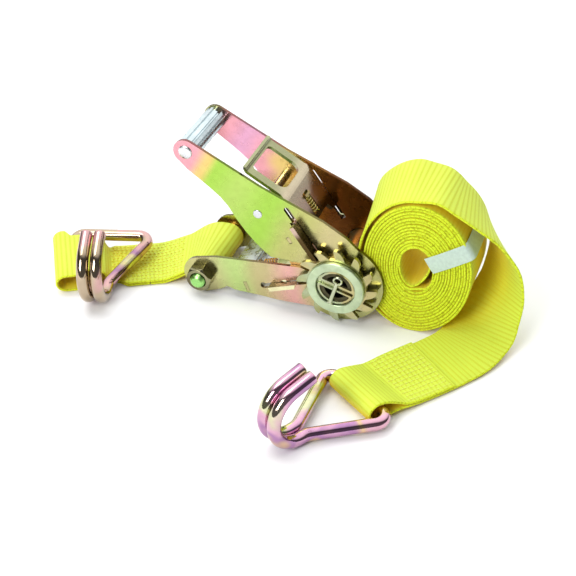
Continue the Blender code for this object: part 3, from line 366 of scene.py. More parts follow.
MATS = {
    "handle_front": plated(
        "zinc_handle_front",
        ((0.0, PINK), (0.04, PINK), (0.10, GOLD), (0.16, LIME), (0.30, GREEN), (0.45, LIME),
         (0.60, STRAW), (0.74, BEIGE), (0.88, STRAW), (1.0, OLIVE)),
        *HANDLE_WAY, patch=11.0, wander=0.09, rim=EDGE_PAINTED_SHADE),
    "handle_rear": plated(
        "zinc_handle_rear",
        ((0.0, OLIVE), (0.10, PINK), (0.22, ROSE), (0.30, PINK), (0.42, GOLD), (0.50, AMBER),
         (0.62, (0.42, 0.17, 0.05)), (0.85, BROWN), (1.0, BROWN)),
        *HANDLE_WAY, patch=16.0, wander=0.12, seed=0.3, rim=EDGE_PAINTED_SHADE),
    "frame": plated(
        "zinc_frame",
        ((0.0, STRAW), (0.16, (0.60, 0.56, 0.28)), (0.31, (0.51, 0.66, 0.24)), (0.44, BEIGE),
         (0.58, (0.78, 0.43, 0.40)), (0.68, BEIGE), (0.84, (0.58, 0.52, 0.20)), (1.0, OLIVE)),
        *FRAME_WAY, patch=14.0, wander=0.12, seed=0.7, rim=EDGE_PAINTED_SHADE),
    "gear": plated(
        "zinc_gear", ((0.0, OLIVE), (0.35, GREY_GREEN), (0.6, BEIGE), (1.0, OLIVE)),
        (-30, 0, 0), (30, 0, 60), patch=60.0, wander=0.5),
    "seat": plated(
        "zinc_pawl", ((0.0, BEIGE), (0.3, GREY_GREEN), (0.6, BEIGE), (1.0, GOLD)),
        (-70, 0, 0), (0, 0, 90), patch=25.0, wander=0.4, seed=1.3),
    "handle_pawl": plated(
        "zinc_handle_pawl",
        # the near-black stops at the mandrel end are painted shade on the pawl's arm
        ((0.0, (0.07, 0.045, 0.015)), (0.22, (0.10, 0.065, 0.025)), (0.31, (0.60, 0.44, 0.36)),
         (0.52, (0.56, 0.48, 0.34)), (0.66, (0.30, 0.31, 0.17)), (1.0, (0.34, 0.36, 0.20))),
        (-12, 0, 50), (-80, 0, 118), patch=22.0, wander=0.08, seed=1.9),
    "frame_pawl": plated(
        "zinc_frame_pawl",
        ((0.0, (0.80, 0.72, 0.40)), (0.4, (0.84, 0.80, 0.50)), (1.0, (0.84, 0.82, 0.54))),
        (-60, 0, 0), (-20, 0, 30), patch=30.0, wander=0.2, seed=1.1),
    "hook": plated(
        "zinc_hook",
        ((0.0, (0.48, 0.38, 0.27)), (0.12, (0.60, 0.36, 0.36)), (0.26, (0.38, 0.21, 0.33)),
         (0.40, BEIGE), (0.52, (0.60, 0.60, 0.38)), (0.64, (0.66, 0.38, 0.52)),
         (0.76, (0.42, 0.22, 0.42)), (0.88, (0.70, 0.48, 0.30)), (1.0, (0.66, 0.38, 0.48))),
        *HOOK_WAY, patch=24.0, wander=0.72, rough=0.075, seed=2.6),
    "spring": plated(
        "zinc_spring", ((0.0, GOLD), (0.5, AMBER), (1.0, OLIVE)),
        (-90, 0, 0), (0, 0, 90), patch=40.0, wander=0.4, seed=3.1),
    "nut": plated(
        "zinc_nut", ((0.0, (0.13, 0.11, 0.06)), (0.5, (0.26, 0.25, 0.14)), (1.0, (0.40, 0.38, 0.22))),
        *ANCHOR_WAY, patch=60.0, wander=0.4, rough=0.16, seed=4.0),
    "sleeve": plated(
        "zinc_sleeve", ((0.0, AMBER), (0.5, (0.60, 0.26, 0.06)), (1.0, GOLD)),
        *ANCHOR_WAY, patch=50.0, wander=0.4, seed=5.0),
    "steel": bright("zinc_bright", (0.80, 0.82, 0.83)),
    "grip": bright("zinc_grip", (0.62, 0.71, 0.73), 0.30),
    "cross": bright("zinc_cross_plate", (0.72, 0.78, 0.76), 0.30, tab=(0.46, 0.44, 0.21)),
    "hub": bright("zinc_hub", (0.60, 0.72, 0.48), 0.42),
    "bolt": bright("zinc_bolt_green", (0.34, 0.70, 0.20)),
    "pin": bright("zinc_pin", (0.62, 0.66, 0.46), 0.22),
    # painted shade: near-black zinc for the inside of each mandrel half's channel
    "shade": bright("zinc_painted_shade", (0.10, 0.09, 0.05), 0.5),
    "web": woven("webbing_yellow", (0.70, 0.84, 0.085), (0.56, 0.60, 0.004)),
    "selvedge": woven("webbing_yellow_edge", (0.70, 0.84, 0.025), (0.42, 0.47, 0.002), selvedge=True),
    "thread": woven("stitch_thread", (0.80, 0.92, 0.20), (0.66, 0.72, 0.03)),
    "paper": paper("paper_band"),
}


# mesh helpers ----------------------------------------------------------------------------


def put(name, bm, mat, body, nodes=(), bevel=0.0, angle=35, more=()):
    """A piece from a bmesh in millimetres: shaded smooth up to an angle, with small bevels."""
    bmesh.ops.remove_doubles(bm, verts=bm.verts, dist=1e-4)
    bmesh.ops.recalc_face_normals(bm, faces=bm.faces)
    bmesh.ops.transform(bm, matrix=Matrix.Translation(SEAT) @ Matrix.Scale(0.001, 4), verts=bm.verts)
    for face in bm.faces:
        face.smooth = True
    for edge in bm.edges:
        if len(edge.link_faces) == 2 and edge.calc_face_angle(0) > radians(angle):
            edge.smooth = False
    mesh = bpy.data.meshes.new(name)
    bm.to_mesh(mesh)
    bm.free()
    for entry in (mat, *more):
        mesh.materials.append(MATS[entry])
    obj = bpy.data.objects.new(name, mesh)
    bpy.context.scene.collection.objects.link(obj)
    if bevel:
        soften(obj, bevel, angle)
    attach(obj, body)
    if nodes:
        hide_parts(*nodes)
    return obj


def soften(obj, width, angle=35):
    edge = obj.modifiers.new("edges", "BEVEL")
    edge.width, edge.segments, edge.limit_method = width / 1000, 2, "ANGLE"
    edge.angle_limit = radians(angle)
    edge.use_clamp_overlap = True
    edge.harden_normals = False


def joined(first, others, operation="UNION"):
    """The EXACT Boolean of bmeshes, as a new bmesh."""
    made = []
    for bm in [first, *others]:
        bmesh.ops.remove_doubles(bm, verts=bm.verts, dist=1e-4)
        bmesh.ops.recalc_face_normals(bm, faces=bm.faces)
        mesh = bpy.data.meshes.new("piece")
        bm.to_mesh(mesh)
        bm.free()
        made.append(bpy.data.objects.new("piece", mesh))
        bpy.context.scene.collection.objects.link(made[-1])
    for other in made[1:]:
        cut = made[0].modifiers.new("cut", "BOOLEAN")
        cut.solver, cut.operation, cut.object = "EXACT", operation, other
    graph = bpy.context.evaluated_depsgraph_get()
    out = bmesh.new()
    out.from_mesh(bpy.data.meshes.new_from_object(made[0].evaluated_get(graph)))
    for obj in made:
        bpy.data.objects.remove(obj, do_unlink=True)
    return out


def smooth(t):
    t = max(0.0, min(1.0, t))
    return t * t * (3 - 2 * t)


def smooth_slope(t):
    return 6 * t * (1 - t) if 0 < t < 1 else 0.0


def band(bm, a, b):
    """The quads between two rings of equal counts."""
    pairs = zip(range(len(a)), (*range(1, len(a)), 0))
    return [bm.faces.new((a[k], a[n], b[n], b[k])) for k, n in pairs]


def skin(bm, rings, closed=False):
    """Quads between rings of equal counts, with the ends filled unless the path closes."""
    pairs = list(zip(rings, rings[1:]))
    if closed:
        pairs.append((rings[-1], rings[0]))
    for a, b in pairs:
        band(bm, a, b)
    if not closed:
        bm.faces.new(rings[0][::-1])
        bm.faces.new(rings[-1])


def beside(points, i):
    """The points before and after number i; at an end, number i itself stands in."""
    return points[max(0, i - 1)], points[min(len(points) - 1, i + 1)]


def rod(points, radius, sides=24, round_end=0.0):
    """A wire swept along a path without twist. Its ends are flat, or rounded by round_end."""
    bm = bmesh.new()
    points = [Vector(p) for p in points]
    radii = [radius] * len(points)
    if round_end:
        for flip in (False, True):
            if flip:
                points.reverse()
                radii.reverse()
            way = (points[1] - points[0]).normalized()
            caps = [(points[0] + way * round_end * (1 - cos(t)), radius - round_end * (1 - sin(t)))
                    for t in (radians(12), radians(40), radians(68))]
            points = [p for p, _ in caps] + [points[0] + way * round_end] + points[1:]
            radii = [r for _, r in caps] + [radius] + radii[1:]
        points.reverse()
        radii.reverse()
    side = (points[1] - points[0]).orthogonal().normalized()
    rings = []
    for i, p in enumerate(points):
        a, b = beside(points, i)
        way = (b - a).normalized()
        side = (side - way * side.dot(way)).normalized()
        other = way.cross(side)
        turns = (2 * pi * k / sides for k in range(sides))
        rings.append([bm.verts.new(p + (side * cos(t) + other * sin(t)) * radii[i]) for t in turns])
    skin(bm, rings)
    return bm


def merged(*parts):
    """Several closed shapes as one bmesh."""
    out = bmesh.new()
    for bm in parts:
        mesh = bpy.data.meshes.new("part")
        bm.to_mesh(mesh)
        bm.free()
        out.from_mesh(mesh)
        bpy.data.meshes.remove(mesh)
    return out


def lathe(x, z, profile, steps=48):
    """A shape turned about a line along Y: profile of (y, radius), ends filled."""
    bm = bmesh.new()
    rings = []
    for y, radius in profile:
        turns = (2 * pi * k / steps for k in range(steps))
        rings.append([bm.verts.new((x + radius * cos(t), y, z + radius * sin(t))) for t in turns])
    skin(bm, rings)
    return bm


def along(line, t):
    """The point at distance t from the mandrel on a pawl's line of travel."""
    turn, off = line
    c, s = cos(turn), sin(turn)
    return Vector((t * c - off * s, 0, AXIS_Z + t * s + off * c))


# webbing ---------------------------------------------------------------------------------


def strip(stations):
    """Webbing along stations (centre, normal, across, low edge, high edge, thickness).

    Its faces carry ribs, its selvedges are round and uneven, and its UV map is in centimetres."""
    bm = bmesh.new()
    uv = bm.loops.layers.uv.new("UVMap")
    rings, places = [], []
    s, last = 0.0, None
    loops = Random(4)
    for centre, normal, across, low, high, t in stations:
        if last is not None:
            s += (centre - last).length
        last = centre
        h = t / 2
        rib = RIB_HIGH * (abs(sin(pi * s / RIB)) ** 0.6 - 1)
        ring, place = [], []
        for face, edge, columns in ((1, high, range(COLUMNS + 1)), (-1, low, range(COLUMNS, -1, -1))):
            for k in columns:
                w = low + h * 0.8 + (high - low - 1.6 * h) * k / COLUMNS
                crown = rib * min(1.0, 0.4 + min(k, COLUMNS - k) * 0.6)
                ring.append(centre + across * w + normal * face * (h + crown))
                place.append(w)
            for turn in (45, 0, -45):
                a = radians(turn)
                swell = 1 + 0.30 * loops.random()
                reach = edge - face * h * 0.8 + face * h * 0.8 * cos(a) * swell
                ring.append(centre + across * reach + normal * face * h * sin(a))
                place.append(edge)
        rings.append([bm.verts.new(p) for p in ring])
        places.append([(w / 10, s / 10) for w in place])
    for (a, pa), (b, pb) in zip(zip(rings, places), zip(rings[1:], places[1:])):
        for k, face in enumerate(band(bm, a, b)):
            n = (k + 1) % len(a)
            for loop, at in zip(face.loops, (pa[k], pa[n], pb[n], pb[k])):
                loop[uv].uv = at
            if COLUMNS <= k < COLUMNS + 4 or k >= 2 * COLUMNS + 4:
                face.material_index = 1
    for ring, place in ((rings[0][::-1], places[0][::-1]), (rings[-1], places[-1])):
        face = bm.faces.new(ring)
        for loop, at in zip(face.loops, place):
            loop[uv].uv = at
    return bm, s


def realign(rows):
    """Sets each row's normal square to the path, on the side it already points to."""
    for i, row in enumerate(rows):
        a, b = (r[0] for r in beside(rows, i))
        way = (b - a).normalized()
        side = (row[2] - way * row[2].dot(way)).normalized()
        out = side.cross(way)
        row[1], row[2] = (out if out.dot(row[1]) > 0 else -out), side
    return rows


def stitches(points, length=2.1):
    """Short raised thread lengths: each point is (centre on the surface, direction, outward)."""
    bm = bmesh.new()
    uv = bm.loops.layers.uv.new("UVMap")
    # place along half the stitch, share of the thread's radius, height of its centre in radii
    profile = ((-1, 0.25, -0.3), (-0.8, 0.7, 0.15), (-0.35, 1.0, 0.55),
               (0.35, 1.0, 0.55), (0.8, 0.7, 0.15), (1, 0.25, -0.3))
    for centre, way, out in points:
        side = way.cross(out).normalized()
        rings = []
        for share, r, lift in profile:
            mid = centre + way * share * length / 2 + out * THREAD_R * lift
            turns = (2 * pi * k / 7 for k in range(7))
            spokes = ((side * cos(t) + out * sin(t)) * THREAD_R * r for t in turns)
            rings.append([bm.verts.new(mid + spoke) for spoke in spokes])
        skin(bm, rings)
    for face in bm.faces:
        for loop in face.loops:
            loop[uv].uv = loop.vert.co.x / 10, loop.vert.co.y / 10
    return bm


# short strap: one loop of webbing from the anchor sleeve to its hook

SHORT_LENGTH, SHORT_PINCH = 126.0, 6.0
SHORT_LOW, SHORT_HIGH = 2.5, 12.7
SHORT_EYE, SHORT_DOUBLE = 6.3, WEB_T + 0.1
SHORT_FAR = SHORT_LENGTH - SHORT_EYE - WEB_T  # where the loop begins its turn round the hook
SLEEVE_LOOP_R = SLEEVE_R + 0.7


def short_heading(s):
    return radians(180 + 31 * (1 - exp(-max(0, s) / 25.0)))


def short_level(s):
    """Height and slope of the strap's centreline, and how much its width leans."""
    lift, eye = (s - 6) / 42, (s - 78) / 30
    z = BOLT_Z + (SHORT_LOW - BOLT_Z) * smooth(lift) + (SHORT_HIGH - SHORT_LOW) * smooth(eye)
    slope = (SHORT_LOW - BOLT_Z) * smooth_slope(lift) / 42
    slope += (SHORT_HIGH - SHORT_LOW) * smooth_slope(eye) / 30
    return z, slope, 0.165 * smooth((s - 70) / 34)


def short_station(s):
    """Centre, normal and width direction of the short strap at length s from the anchor bolt."""
    step, x, y, u = 2.0, BOLT_X, 0.0, 0.0
    while u < s - 1e-9:
        d = min(step, s - u)
        h = short_heading(u + d / 2)
        x, y, u = x + d * cos(h), y + d * sin(h), u + d
    h = short_heading(s)
    if s < 0:
        x, y = BOLT_X + s * cos(h), s * sin(h)
    z, slope, lean = short_level(s)
    pitch = atan2(slope, 1)
    way = Vector((cos(h) * cos(pitch), sin(h) * cos(pitch), sin(pitch)))
    across = Vector((-sin(h), cos(h), -lean)).normalized()
    across = (across - way * across.dot(way)).normalized()
    return Vector((x, y, z)), across.cross(way), across


def short_edges(s):
    far = smooth((s - 78) / 10) * (1 - smooth((s - 111) / 6))
    near = smooth((s - 71) / 9) * (1 - smooth((s - 101) / 8))
    return SHORT_PINCH * far - WEB_W / 2, WEB_W / 2 - SHORT_PINCH * near


def short_levels(s):
    """Centres of the upper and the lower layer, as offsets along the normal from the centreline."""
    if s < 3:
        inner = SLEEVE_LOOP_R
    elif s < SHORT_FAR:
        inner = SLEEVE_LOOP_R * (1 - smooth((s - 3) / 22))
        if s > 83:
            inner = SHORT_EYE * smooth((s - 83) / 11)
    else:
        inner = SHORT_EYE
    outer = max(SHORT_DOUBLE, inner + WEB_T)
    under, under_in = outer, inner
    if s > 25:
        z, _, lean = short_level(s)
        under = min(outer, z - lean * short_edges(s)[1] - FLOOR_GAP)
        under_in = min(inner, under - WEB_T) if inner else 0.0
    return -(outer + inner) / 2, (under + under_in) / 2


def short_loop():
    """Stations of the whole loop, from the middle of the lower layer round both eyes and back."""
    meet, out = 55.0, []

    def row(s, layer):
        centre, normal, across = short_station(s)
        level = short_levels(s)[layer]
        out.append([centre + normal * level, -normal if layer == 0 else normal, across,
                    *short_edges(s), WEB_SOLID])

    count = int((SHORT_FAR - meet) / ROW_STEP)
    for i in range(count + 1):
        row(meet + (SHORT_FAR - meet) * i / count, 1)
    up, down = short_levels(SHORT_FAR)
    radius = (down - up) / 2
    centre, normal, across = short_station(SHORT_FAR)
    way = -(across.cross(normal))
    mid = centre + normal * (down + up) / 2
    for i in range(1, 24):
        t = pi * i / 24
        lean = normal * cos(t) + way * sin(t)
        bulge = radius + (SHORT_EYE + WEB_T / 2 - radius) * sin(t)
        spot = mid + normal * cos(t) * radius + way * sin(t) * bulge
        out.append([spot, lean, across, *short_edges(SHORT_FAR + 6 * sin(t)), WEB_SOLID])
    count = int(SHORT_FAR / ROW_STEP)
    for i in range(count + 1):
        row(SHORT_FAR * (1 - i / count), 0)
    centre, normal, across = short_station(0)
    way = -(across.cross(normal))
    radius = SLEEVE_LOOP_R + WEB_T / 2
    for i in range(1, 32):
        t = pi * i / 32
        lean = -normal * cos(t) - way * sin(t)
        out.append([centre + lean * radius, lean, across, -WEB_W / 2, WEB_W / 2, WEB_SOLID])
    count = int(meet / ROW_STEP)
    for i in range(count):
        row(meet * i / count, 1)
    return out


def make_short_strap():
    bm, length = strip(realign(short_loop()))
    web = put("short_strap_webbing", bm, "web", "short_strap", ["short_strap"], angle=60,
              more=("selvedge",))
    marks = []
    for k in range(12):
        w = -21.5 + 43 * k / 11
        for j in range(19):
            s = 27.5 + 3.0 * j + 1.5 * (k % 2)
            centre, normal, across = short_station(s)
            low, high = short_edges(s)
            level = short_levels(s)[0] - (WEB_T - 0.2) / 2
            spot = centre + normal * level + across * (w * (high - low) / WEB_W + (high + low) / 2)
            marks.append((spot, -(across.cross(normal)), -normal))
    put("short_strap_stitching", stitches(marks), "thread", "short_strap", angle=70)
    return length


# long strap: roll, loose outer turn, floor run and the eye at its hook

LONG_HOOK_AT = Vector((42.0, -110.8, 8.2))
RUN_TURN = radians(235)
LONG_EYE, LONG_EYE_W, SEWN = 5.8, 43.6, 62.0
LOOSE = 1.9  # how far the loose turn stands off the roll
CORE = ((10.2, 9.0), (9.7, 3.5), (8.2, -2.5), (5.0, -8.5), (1.0, -13.0), (-3.2, -14.3), (-7.6, -11.2),
        (-10.6, -5.0), (-11.9, 2.0), (-11.2, 9.5), (-8.2, 15.6), (-3.6, 18.6), (1.8, 18.0), (7.2, 14.6),
        (11.3, 8.6), (12.4, 2.0), (12.5, -4.5), (11.2, -10.4), (7.2, -15.2))
TURNS = 14
CORE_A, CORE_B = 12.9, 17.6  # half axes where the even turns begin
LAST_A, LAST_B = 38.75, 52.35  # and where they end
ROLL_W = 49.0


def catmull(points, t):
    """A smooth value through evenly numbered rows at position t."""
    i = max(0, min(len(points) - 2, int(t)))
    f = t - i
    p = [points[max(0, min(len(points) - 1, i + k))] for k in (-1, 0, 1, 2)]
    return [
        0.5 * (2 * b + (c - a) * f + (2 * a - 5 * b + 4 * c - d) * f * f
               + (3 * b - a - 3 * c + d) * f**3)
        for a, b, c, d in zip(*p)
    ]


def wrap_rows():
    """Rows (centre, width direction) of the loose turn and the floor run, roll end first."""
    rows = []
    for turn, lean in ((196, 0), (178, 0.6), (160, 2.4), (142, 4.2), (124, 3.8), (107, 3.0), (92, 1.2)):
        t = radians(turn)
        out = Vector((cos(t) / ROLL_A, 0, sin(t) / ROLL_B)).normalized() * lean
        x, z = (ROLL_A + LOOSE) * cos(t), (ROLL_B + LOOSE) * sin(t)
        side = -out / (WEB_W / 2)
        side.y = -sqrt(1 - side.length_squared)
        rows.append((ROLL_X + x + out.x, 0, ROLL_Z + z + out.z, *side))
    rows += [
        (64.5, -0.6, 109.6, 0.05, -0.99, 0.02),
        (75.4, -1.0, 103.8, 0.11, -0.99, 0.04),
        (87.9, 0.4, 94.0, 0.215, -0.975, 0.05),
        (100.2, 1.9, 79.8, 0.415, -0.908, 0.06),
        (109.6, 3.0, 59.5, 0.595, -0.803, 0.03),
        (110.9, 1.5, 38.5, 0.71, -0.704, -0.01),
        (107.4, -4.6, 21.6, 0.80, -0.60, -0.07),
        (104.6, -12.8, 11.2, 0.80, -0.59, -0.10),
        (100.4, -25.4, 6.6, 0.83, -0.55, -0.08),
        (94.8, -39.2, 4.6, 0.82, -0.565, -0.06),
        (85.4, -53.2, 4.1, 0.81, -0.58, -0.06),
        (75.2, -66.5, 3.9, 0.79, -0.61, -0.06),
        (64.8, -79.3, 3.8, 0.80, -0.60, -0.05),
    ]
    way = Vector((cos(RUN_TURN), sin(RUN_TURN), 0))
    for back in (24.0, 12.0, 0.0, -11.0):
        c = LONG_HOOK_AT - way * back
        z = 4.0 + (LONG_HOOK_AT.z - 4.0) * smooth((26.0 - back) / 24.0)
        rows.append((c.x, c.y, z, -way.y, way.x, 0))
    return rows


ROWS = wrap_rows()
SAMPLES = []
for i in range(8 * (len(ROWS) - 1) + 1):
    v = catmull(ROWS, i / 8)
    SAMPLES.append((Vector(v[:3]), Vector(v[3:]).normalized()))
LENGTHS = [0.0]
for a, b in zip(SAMPLES, SAMPLES[1:]):
    LENGTHS.append(LENGTHS[-1] + (b[0] - a[0]).length)
BAR_S = LENGTHS[8 * (len(ROWS) - 2)]  # length of the strap up to its hook's bar
EYE_S = BAR_S - 24.0  # and up to where its two layers part


def long_station(s):
    """Centre, normal and width direction of the long strap at length s."""
    i = 0
    while i < len(LENGTHS) - 2 and LENGTHS[i + 1] < s:
        i += 1
    f = (s - LENGTHS[i]) / (LENGTHS[i + 1] - LENGTHS[i])
    centre = SAMPLES[i][0].lerp(SAMPLES[i + 1][0], f)
    across = SAMPLES[i][1].lerp(SAMPLES[i + 1][1], f).normalized()
    a, b = SAMPLES[max(0, i - 1)][0], SAMPLES[min(len(SAMPLES) - 1, i + 2)][0]
    way = (b - a).normalized()
    across = (across - way * across.dot(way)).normalized()
    return centre, across.cross(way), across


def long_edges(s):
    half = (WEB_W + (LONG_EYE_W - WEB_W) * smooth((s - BAR_S + 26) / 23)) / 2
    return -half, half


def roll_rows():
    """Stations of the roll from its core to where the loose turn begins."""
    out = []

    def add(x, z, way_out, t, wob):
        out.append([Vector((ROLL_X + x, wob, ROLL_Z + z)), way_out, Vector((0, -1, 0)),
                    -ROLL_W / 2, ROLL_W / 2, t])

    steps = 6
    for i in range(steps * (len(CORE) - 1)):
        x, z = catmull(CORE, i / steps)
        add(x, z, Vector((x, 0, z + 0.1)).normalized(), 1.55, 0.2 * sin(i * 0.11))
    per = 144
    total = TURNS * per
    for i in range(6, total + 1):
        t = -pi / 2 - 2 * pi * i / per
        u = i / total
        a, b = CORE_A + (LAST_A - CORE_A) * u, CORE_B + (LAST_B - CORE_B) * u
        wave = 0.10 * sin(3 * t + 0.7) + 0.08 * sin(2.13 * t + 1)
        x, z = (a + wave) * cos(t), (b + wave) * sin(t)
        pitch = sqrt(((LAST_A - CORE_A) * cos(t)) ** 2 + ((LAST_B - CORE_B) * sin(t)) ** 2) / TURNS
        wob = 0.28 * sin(t * 0.53) + 0.16 * sin(t * 1.71 + 2)
        thick = min(2.2, pitch * 0.95)
        if i > total - 60:
            thick += (WEB_SOLID - thick) * smooth((i - total + 60) / 60)
        add(x, z, Vector((x / a**2, 0, z / b**2)).normalized(), thick, wob)
    first = -pi / 2
    count = 40
    for i in range(1, count):
        share = i / count
        t = first + (radians(196 - 360) - first) * share
        a = LAST_A + (ROLL_A + LOOSE - LAST_A) * smooth(share)
        b = LAST_B + (ROLL_B + LOOSE - LAST_B) * smooth(share)
        add(a * cos(t), b * sin(t), Vector((cos(t) / a, 0, sin(t) / b)).normalized(), WEB_SOLID, 0)
    return out


def long_rows():
    """Stations of the loose turn, the floor run, the eye round the hook and the sewn end."""
    single = WEB_T / 2
    far = BAR_S + 1.5
    out = []

    def levels(s):
        inner, middle = 0.0, -single
        if s > EYE_S:
            ease = smooth((s - EYE_S) / (far - EYE_S))
            inner, middle = LONG_EYE * ease, -single * (1 - ease)
        return middle + inner + single, middle - inner - single

    count = int(far / ROW_STEP)
    for i in range(count + 1):
        s = far * i / count
        centre, normal, across = long_station(s)
        out.append([centre + normal * levels(s)[0], normal, across, *long_edges(s), WEB_SOLID])
    centre, normal, across = long_station(far)
    way = -(across.cross(normal))
    radius = LONG_EYE + single
    for i in range(1, 26):
        t = pi * i / 26
        lean = normal * cos(t) + way * sin(t)
        out.append([centre + lean * radius, lean, across, *long_edges(far), WEB_SOLID])
    back = far - (BAR_S - SEWN)
    count = int(back / ROW_STEP)
    for i in range(count + 1):
        s = far - back * i / count
        centre, normal, across = long_station(s)
        level = levels(s)[1] - 0.06
        out.append([centre + normal * level, -normal, across, *long_edges(s), WEB_SOLID])
    return out


def make_long_strap():
    rows = realign(roll_rows() + long_rows())
    bm, length = strip(rows)
    web = put("long_strap_webbing", bm, "web", "long_strap",
              ["long_strap_roll", "long_strap_run"], angle=60, more=("selvedge",))
    marks = []
    under = WEB_T + WEB_SOLID / 2
    for k in range(13):
        w = -22.0 + 44 * k / 12
        for j in range(20):
            s = BAR_S - SEWN + 2.4 + 2.3 * j + 1.15 * (k % 2)
            if s > EYE_S:
                continue
            centre, normal, across = long_station(s)
            low, high = long_edges(s)
            spot = centre - normal * under + across * w * (high - low) / WEB_W
            marks.append((spot, -(across.cross(normal)), -normal))
    put("long_strap_stitching", stitches(marks, 1.7), "thread", "long_strap", angle=70)
    return length


SHORT_FLAT = make_short_strap()
LONG_FLAT = make_long_strap()


def make_band():
    """Paper band: out over the roll's front face, bent round its rim and onto the outer turn."""
    turn = radians(34)
    c, s = cos(turn), sin(turn)
    reach = 1 / sqrt((c / ROLL_A) ** 2 + (s / ROLL_B) ** 2) + 1.6
    y = WEB_W / 2 + 0.4
    path = [(11.0, -y + 0.1), (14, -y - 0.1), (20, -y - 0.35), (27, -y - 0.45), (33, -y - 0.35)]
    path += [(reach - 3.4, -y + 0.1), (reach - 1.5, -y + 1.1), (reach - 0.4, -y + 2.8)]
    path += [(reach, -y + 5.2), *((reach + 0.1, y_) for y_ in (-15, -9, -3, 3.5))]
    fine = [catmull(path, i / 4) for i in range(4 * (len(path) - 1) + 1)]
    bm = bmesh.new()
    rings = []
    for i, (r, q) in enumerate(fine):
        a, b = beside(fine, i)
        way = Vector((b[0] - a[0], b[1] - a[1])).normalized()
        out = Vector((way.y, -way.x))
        ring = []
        for face in (1, -1):
            for k in range(7):
                w = (k / 3 - 1) * face
                cup = 0.22 * (0.5 - w * w)
                p = Vector((r, q)) + out * (0.17 * face + cup)
                ring.append((p.x, p.y, 6.4 * w))
        rings.append([bm.verts.new((ROLL_X + p * c - v * s, y_, ROLL_Z + p * s + v * c))
                      for p, y_, v in ring])
    skin(bm, rings)
    put("roll_paper_band", bm, "paper", "long_strap", ["roll_band"], angle=60)


make_band()


# hooks -----------------------------------------------------------------------------------


def corner_arc(before, corner, after, radius, steps=12):
    """Points that round one corner of a 3-D path."""
    a, b = (before - corner).normalized(), (after - corner).normalized()
    half = acos(a.dot(b)) / 2
    centre = corner + (a + b).normalized() * radius / sin(half)
    tangent = radius * cos(half) / sin(half)
    first, last = corner + a * tangent, corner + b * tangent
    u, w = first - centre, last - centre
    total = acos(max(-1, min(1, u.dot(w) / radius**2)))
    out = []
    for k in range(steps + 1):
        share = k / steps
        out.append(centre + (u * sin((1 - share) * total) + w * sin(share * total)) / sin(total))
    return out


def hook_path():
    """Double J hook bent from one rod: base bar along x, apex at +y, J bends rising in z."""
    half, g = HOOK_BASE / 2, HOOK_HALF_GAP

    def j_bend(x):
        steps, end = 36, 90 - HOOK_FLARE * 180 / pi
        turns = [radians(-90 + (end + 90) * k / steps) for k in range(steps + 1)]
        pts = [Vector((x, HOOK_HEIGHT + HOOK_BEND_R * cos(t), HOOK_BEND_R * (1 + sin(t))))
               for t in turns]
        way = Vector((0, -cos(HOOK_FLARE), sin(HOOK_FLARE)))
        return pts + [pts[-1] + way * HOOK_ARM * k / 4 for k in range(1, 5)]

    apex = [Vector((x, HOOK_HEIGHT - 3.0, 0)) for x in (g, -g)]
    base = [Vector((half, 0, 0)), Vector((-half, 0, 0))]
    left, right = j_bend(g), j_bend(-g)
    path = left[::-1]
    path += corner_arc(left[0], apex[0], base[0], 12.0, 6)
    path += corner_arc(apex[0], base[0], base[1], HOOK_CORNER_R)
    path += corner_arc(base[0], base[1], apex[1], HOOK_CORNER_R)
    path += corner_arc(base[1], apex[1], right[0], 12.0, 6)
    path += right
    fine = []
    for a, b in zip(path, path[1:]):
        count = max(1, round((b - a).length / 4))
        if (b - a).length > 1e-4:
            fine += [a.lerp(b, k / count) for k in range(count)]
    return fine + [path[-1]]


def hook_seat(at, yaw, pitch, roll):
    turn = Matrix.Rotation(yaw, 4, "Z") @ Matrix.Rotation(pitch, 4, "X")
    return Matrix.Translation(at) @ turn @ Matrix.Rotation(roll, 4, "Y")


for name, node, seat, body in (
    ("long_hook_rod", "long_end_hook", hook_seat(LONG_HOOK_AT, 2.597, radians(-3.4), 0), "long_hook"),
    ("short_hook_rod", "short_end_hook", hook_seat(Vector((-190.0, -11.3, 17.6)), 3.423, -0.211, 0.02),
     "short_hook"),
):
    bm = rod([seat @ p for p in hook_path()], WIRE_R, 32, 0.9)
    put(name, bm, "hook", body, [node], angle=50)


# round parts of the ratchet --------------------------------------------------------------


def coil(name, node, start, end, radius, wire, turns, body):
    """A compression spring as an even coil."""
    way = (end - start).normalized()
    u = way.orthogonal().normalized()
    v = way.cross(u)
    steps, points = 28, []
    count = int(turns * steps)
    for i in range(count + 1):
        share = i / count
        t = 2 * pi * i / steps
        points.append(start.lerp(end, share) + (u * cos(t) + v * sin(t)) * radius)
    put(name, rod(points, wire, 12), "spring", body, [node], angle=60)


coil("frame_pawl_spring_coil", "frame_pawl_spring",
     along(FRAME_LINE, 59.6), along(FRAME_LINE, 70.1), 3.5, 0.6, 5, "frame")
coil("handle_pawl_spring_coil", "handle_pawl_spring",
     along(HANDLE_LINE, 45.3), along(HANDLE_LINE, 58.6), 3.0, 0.5, 6, "handle")


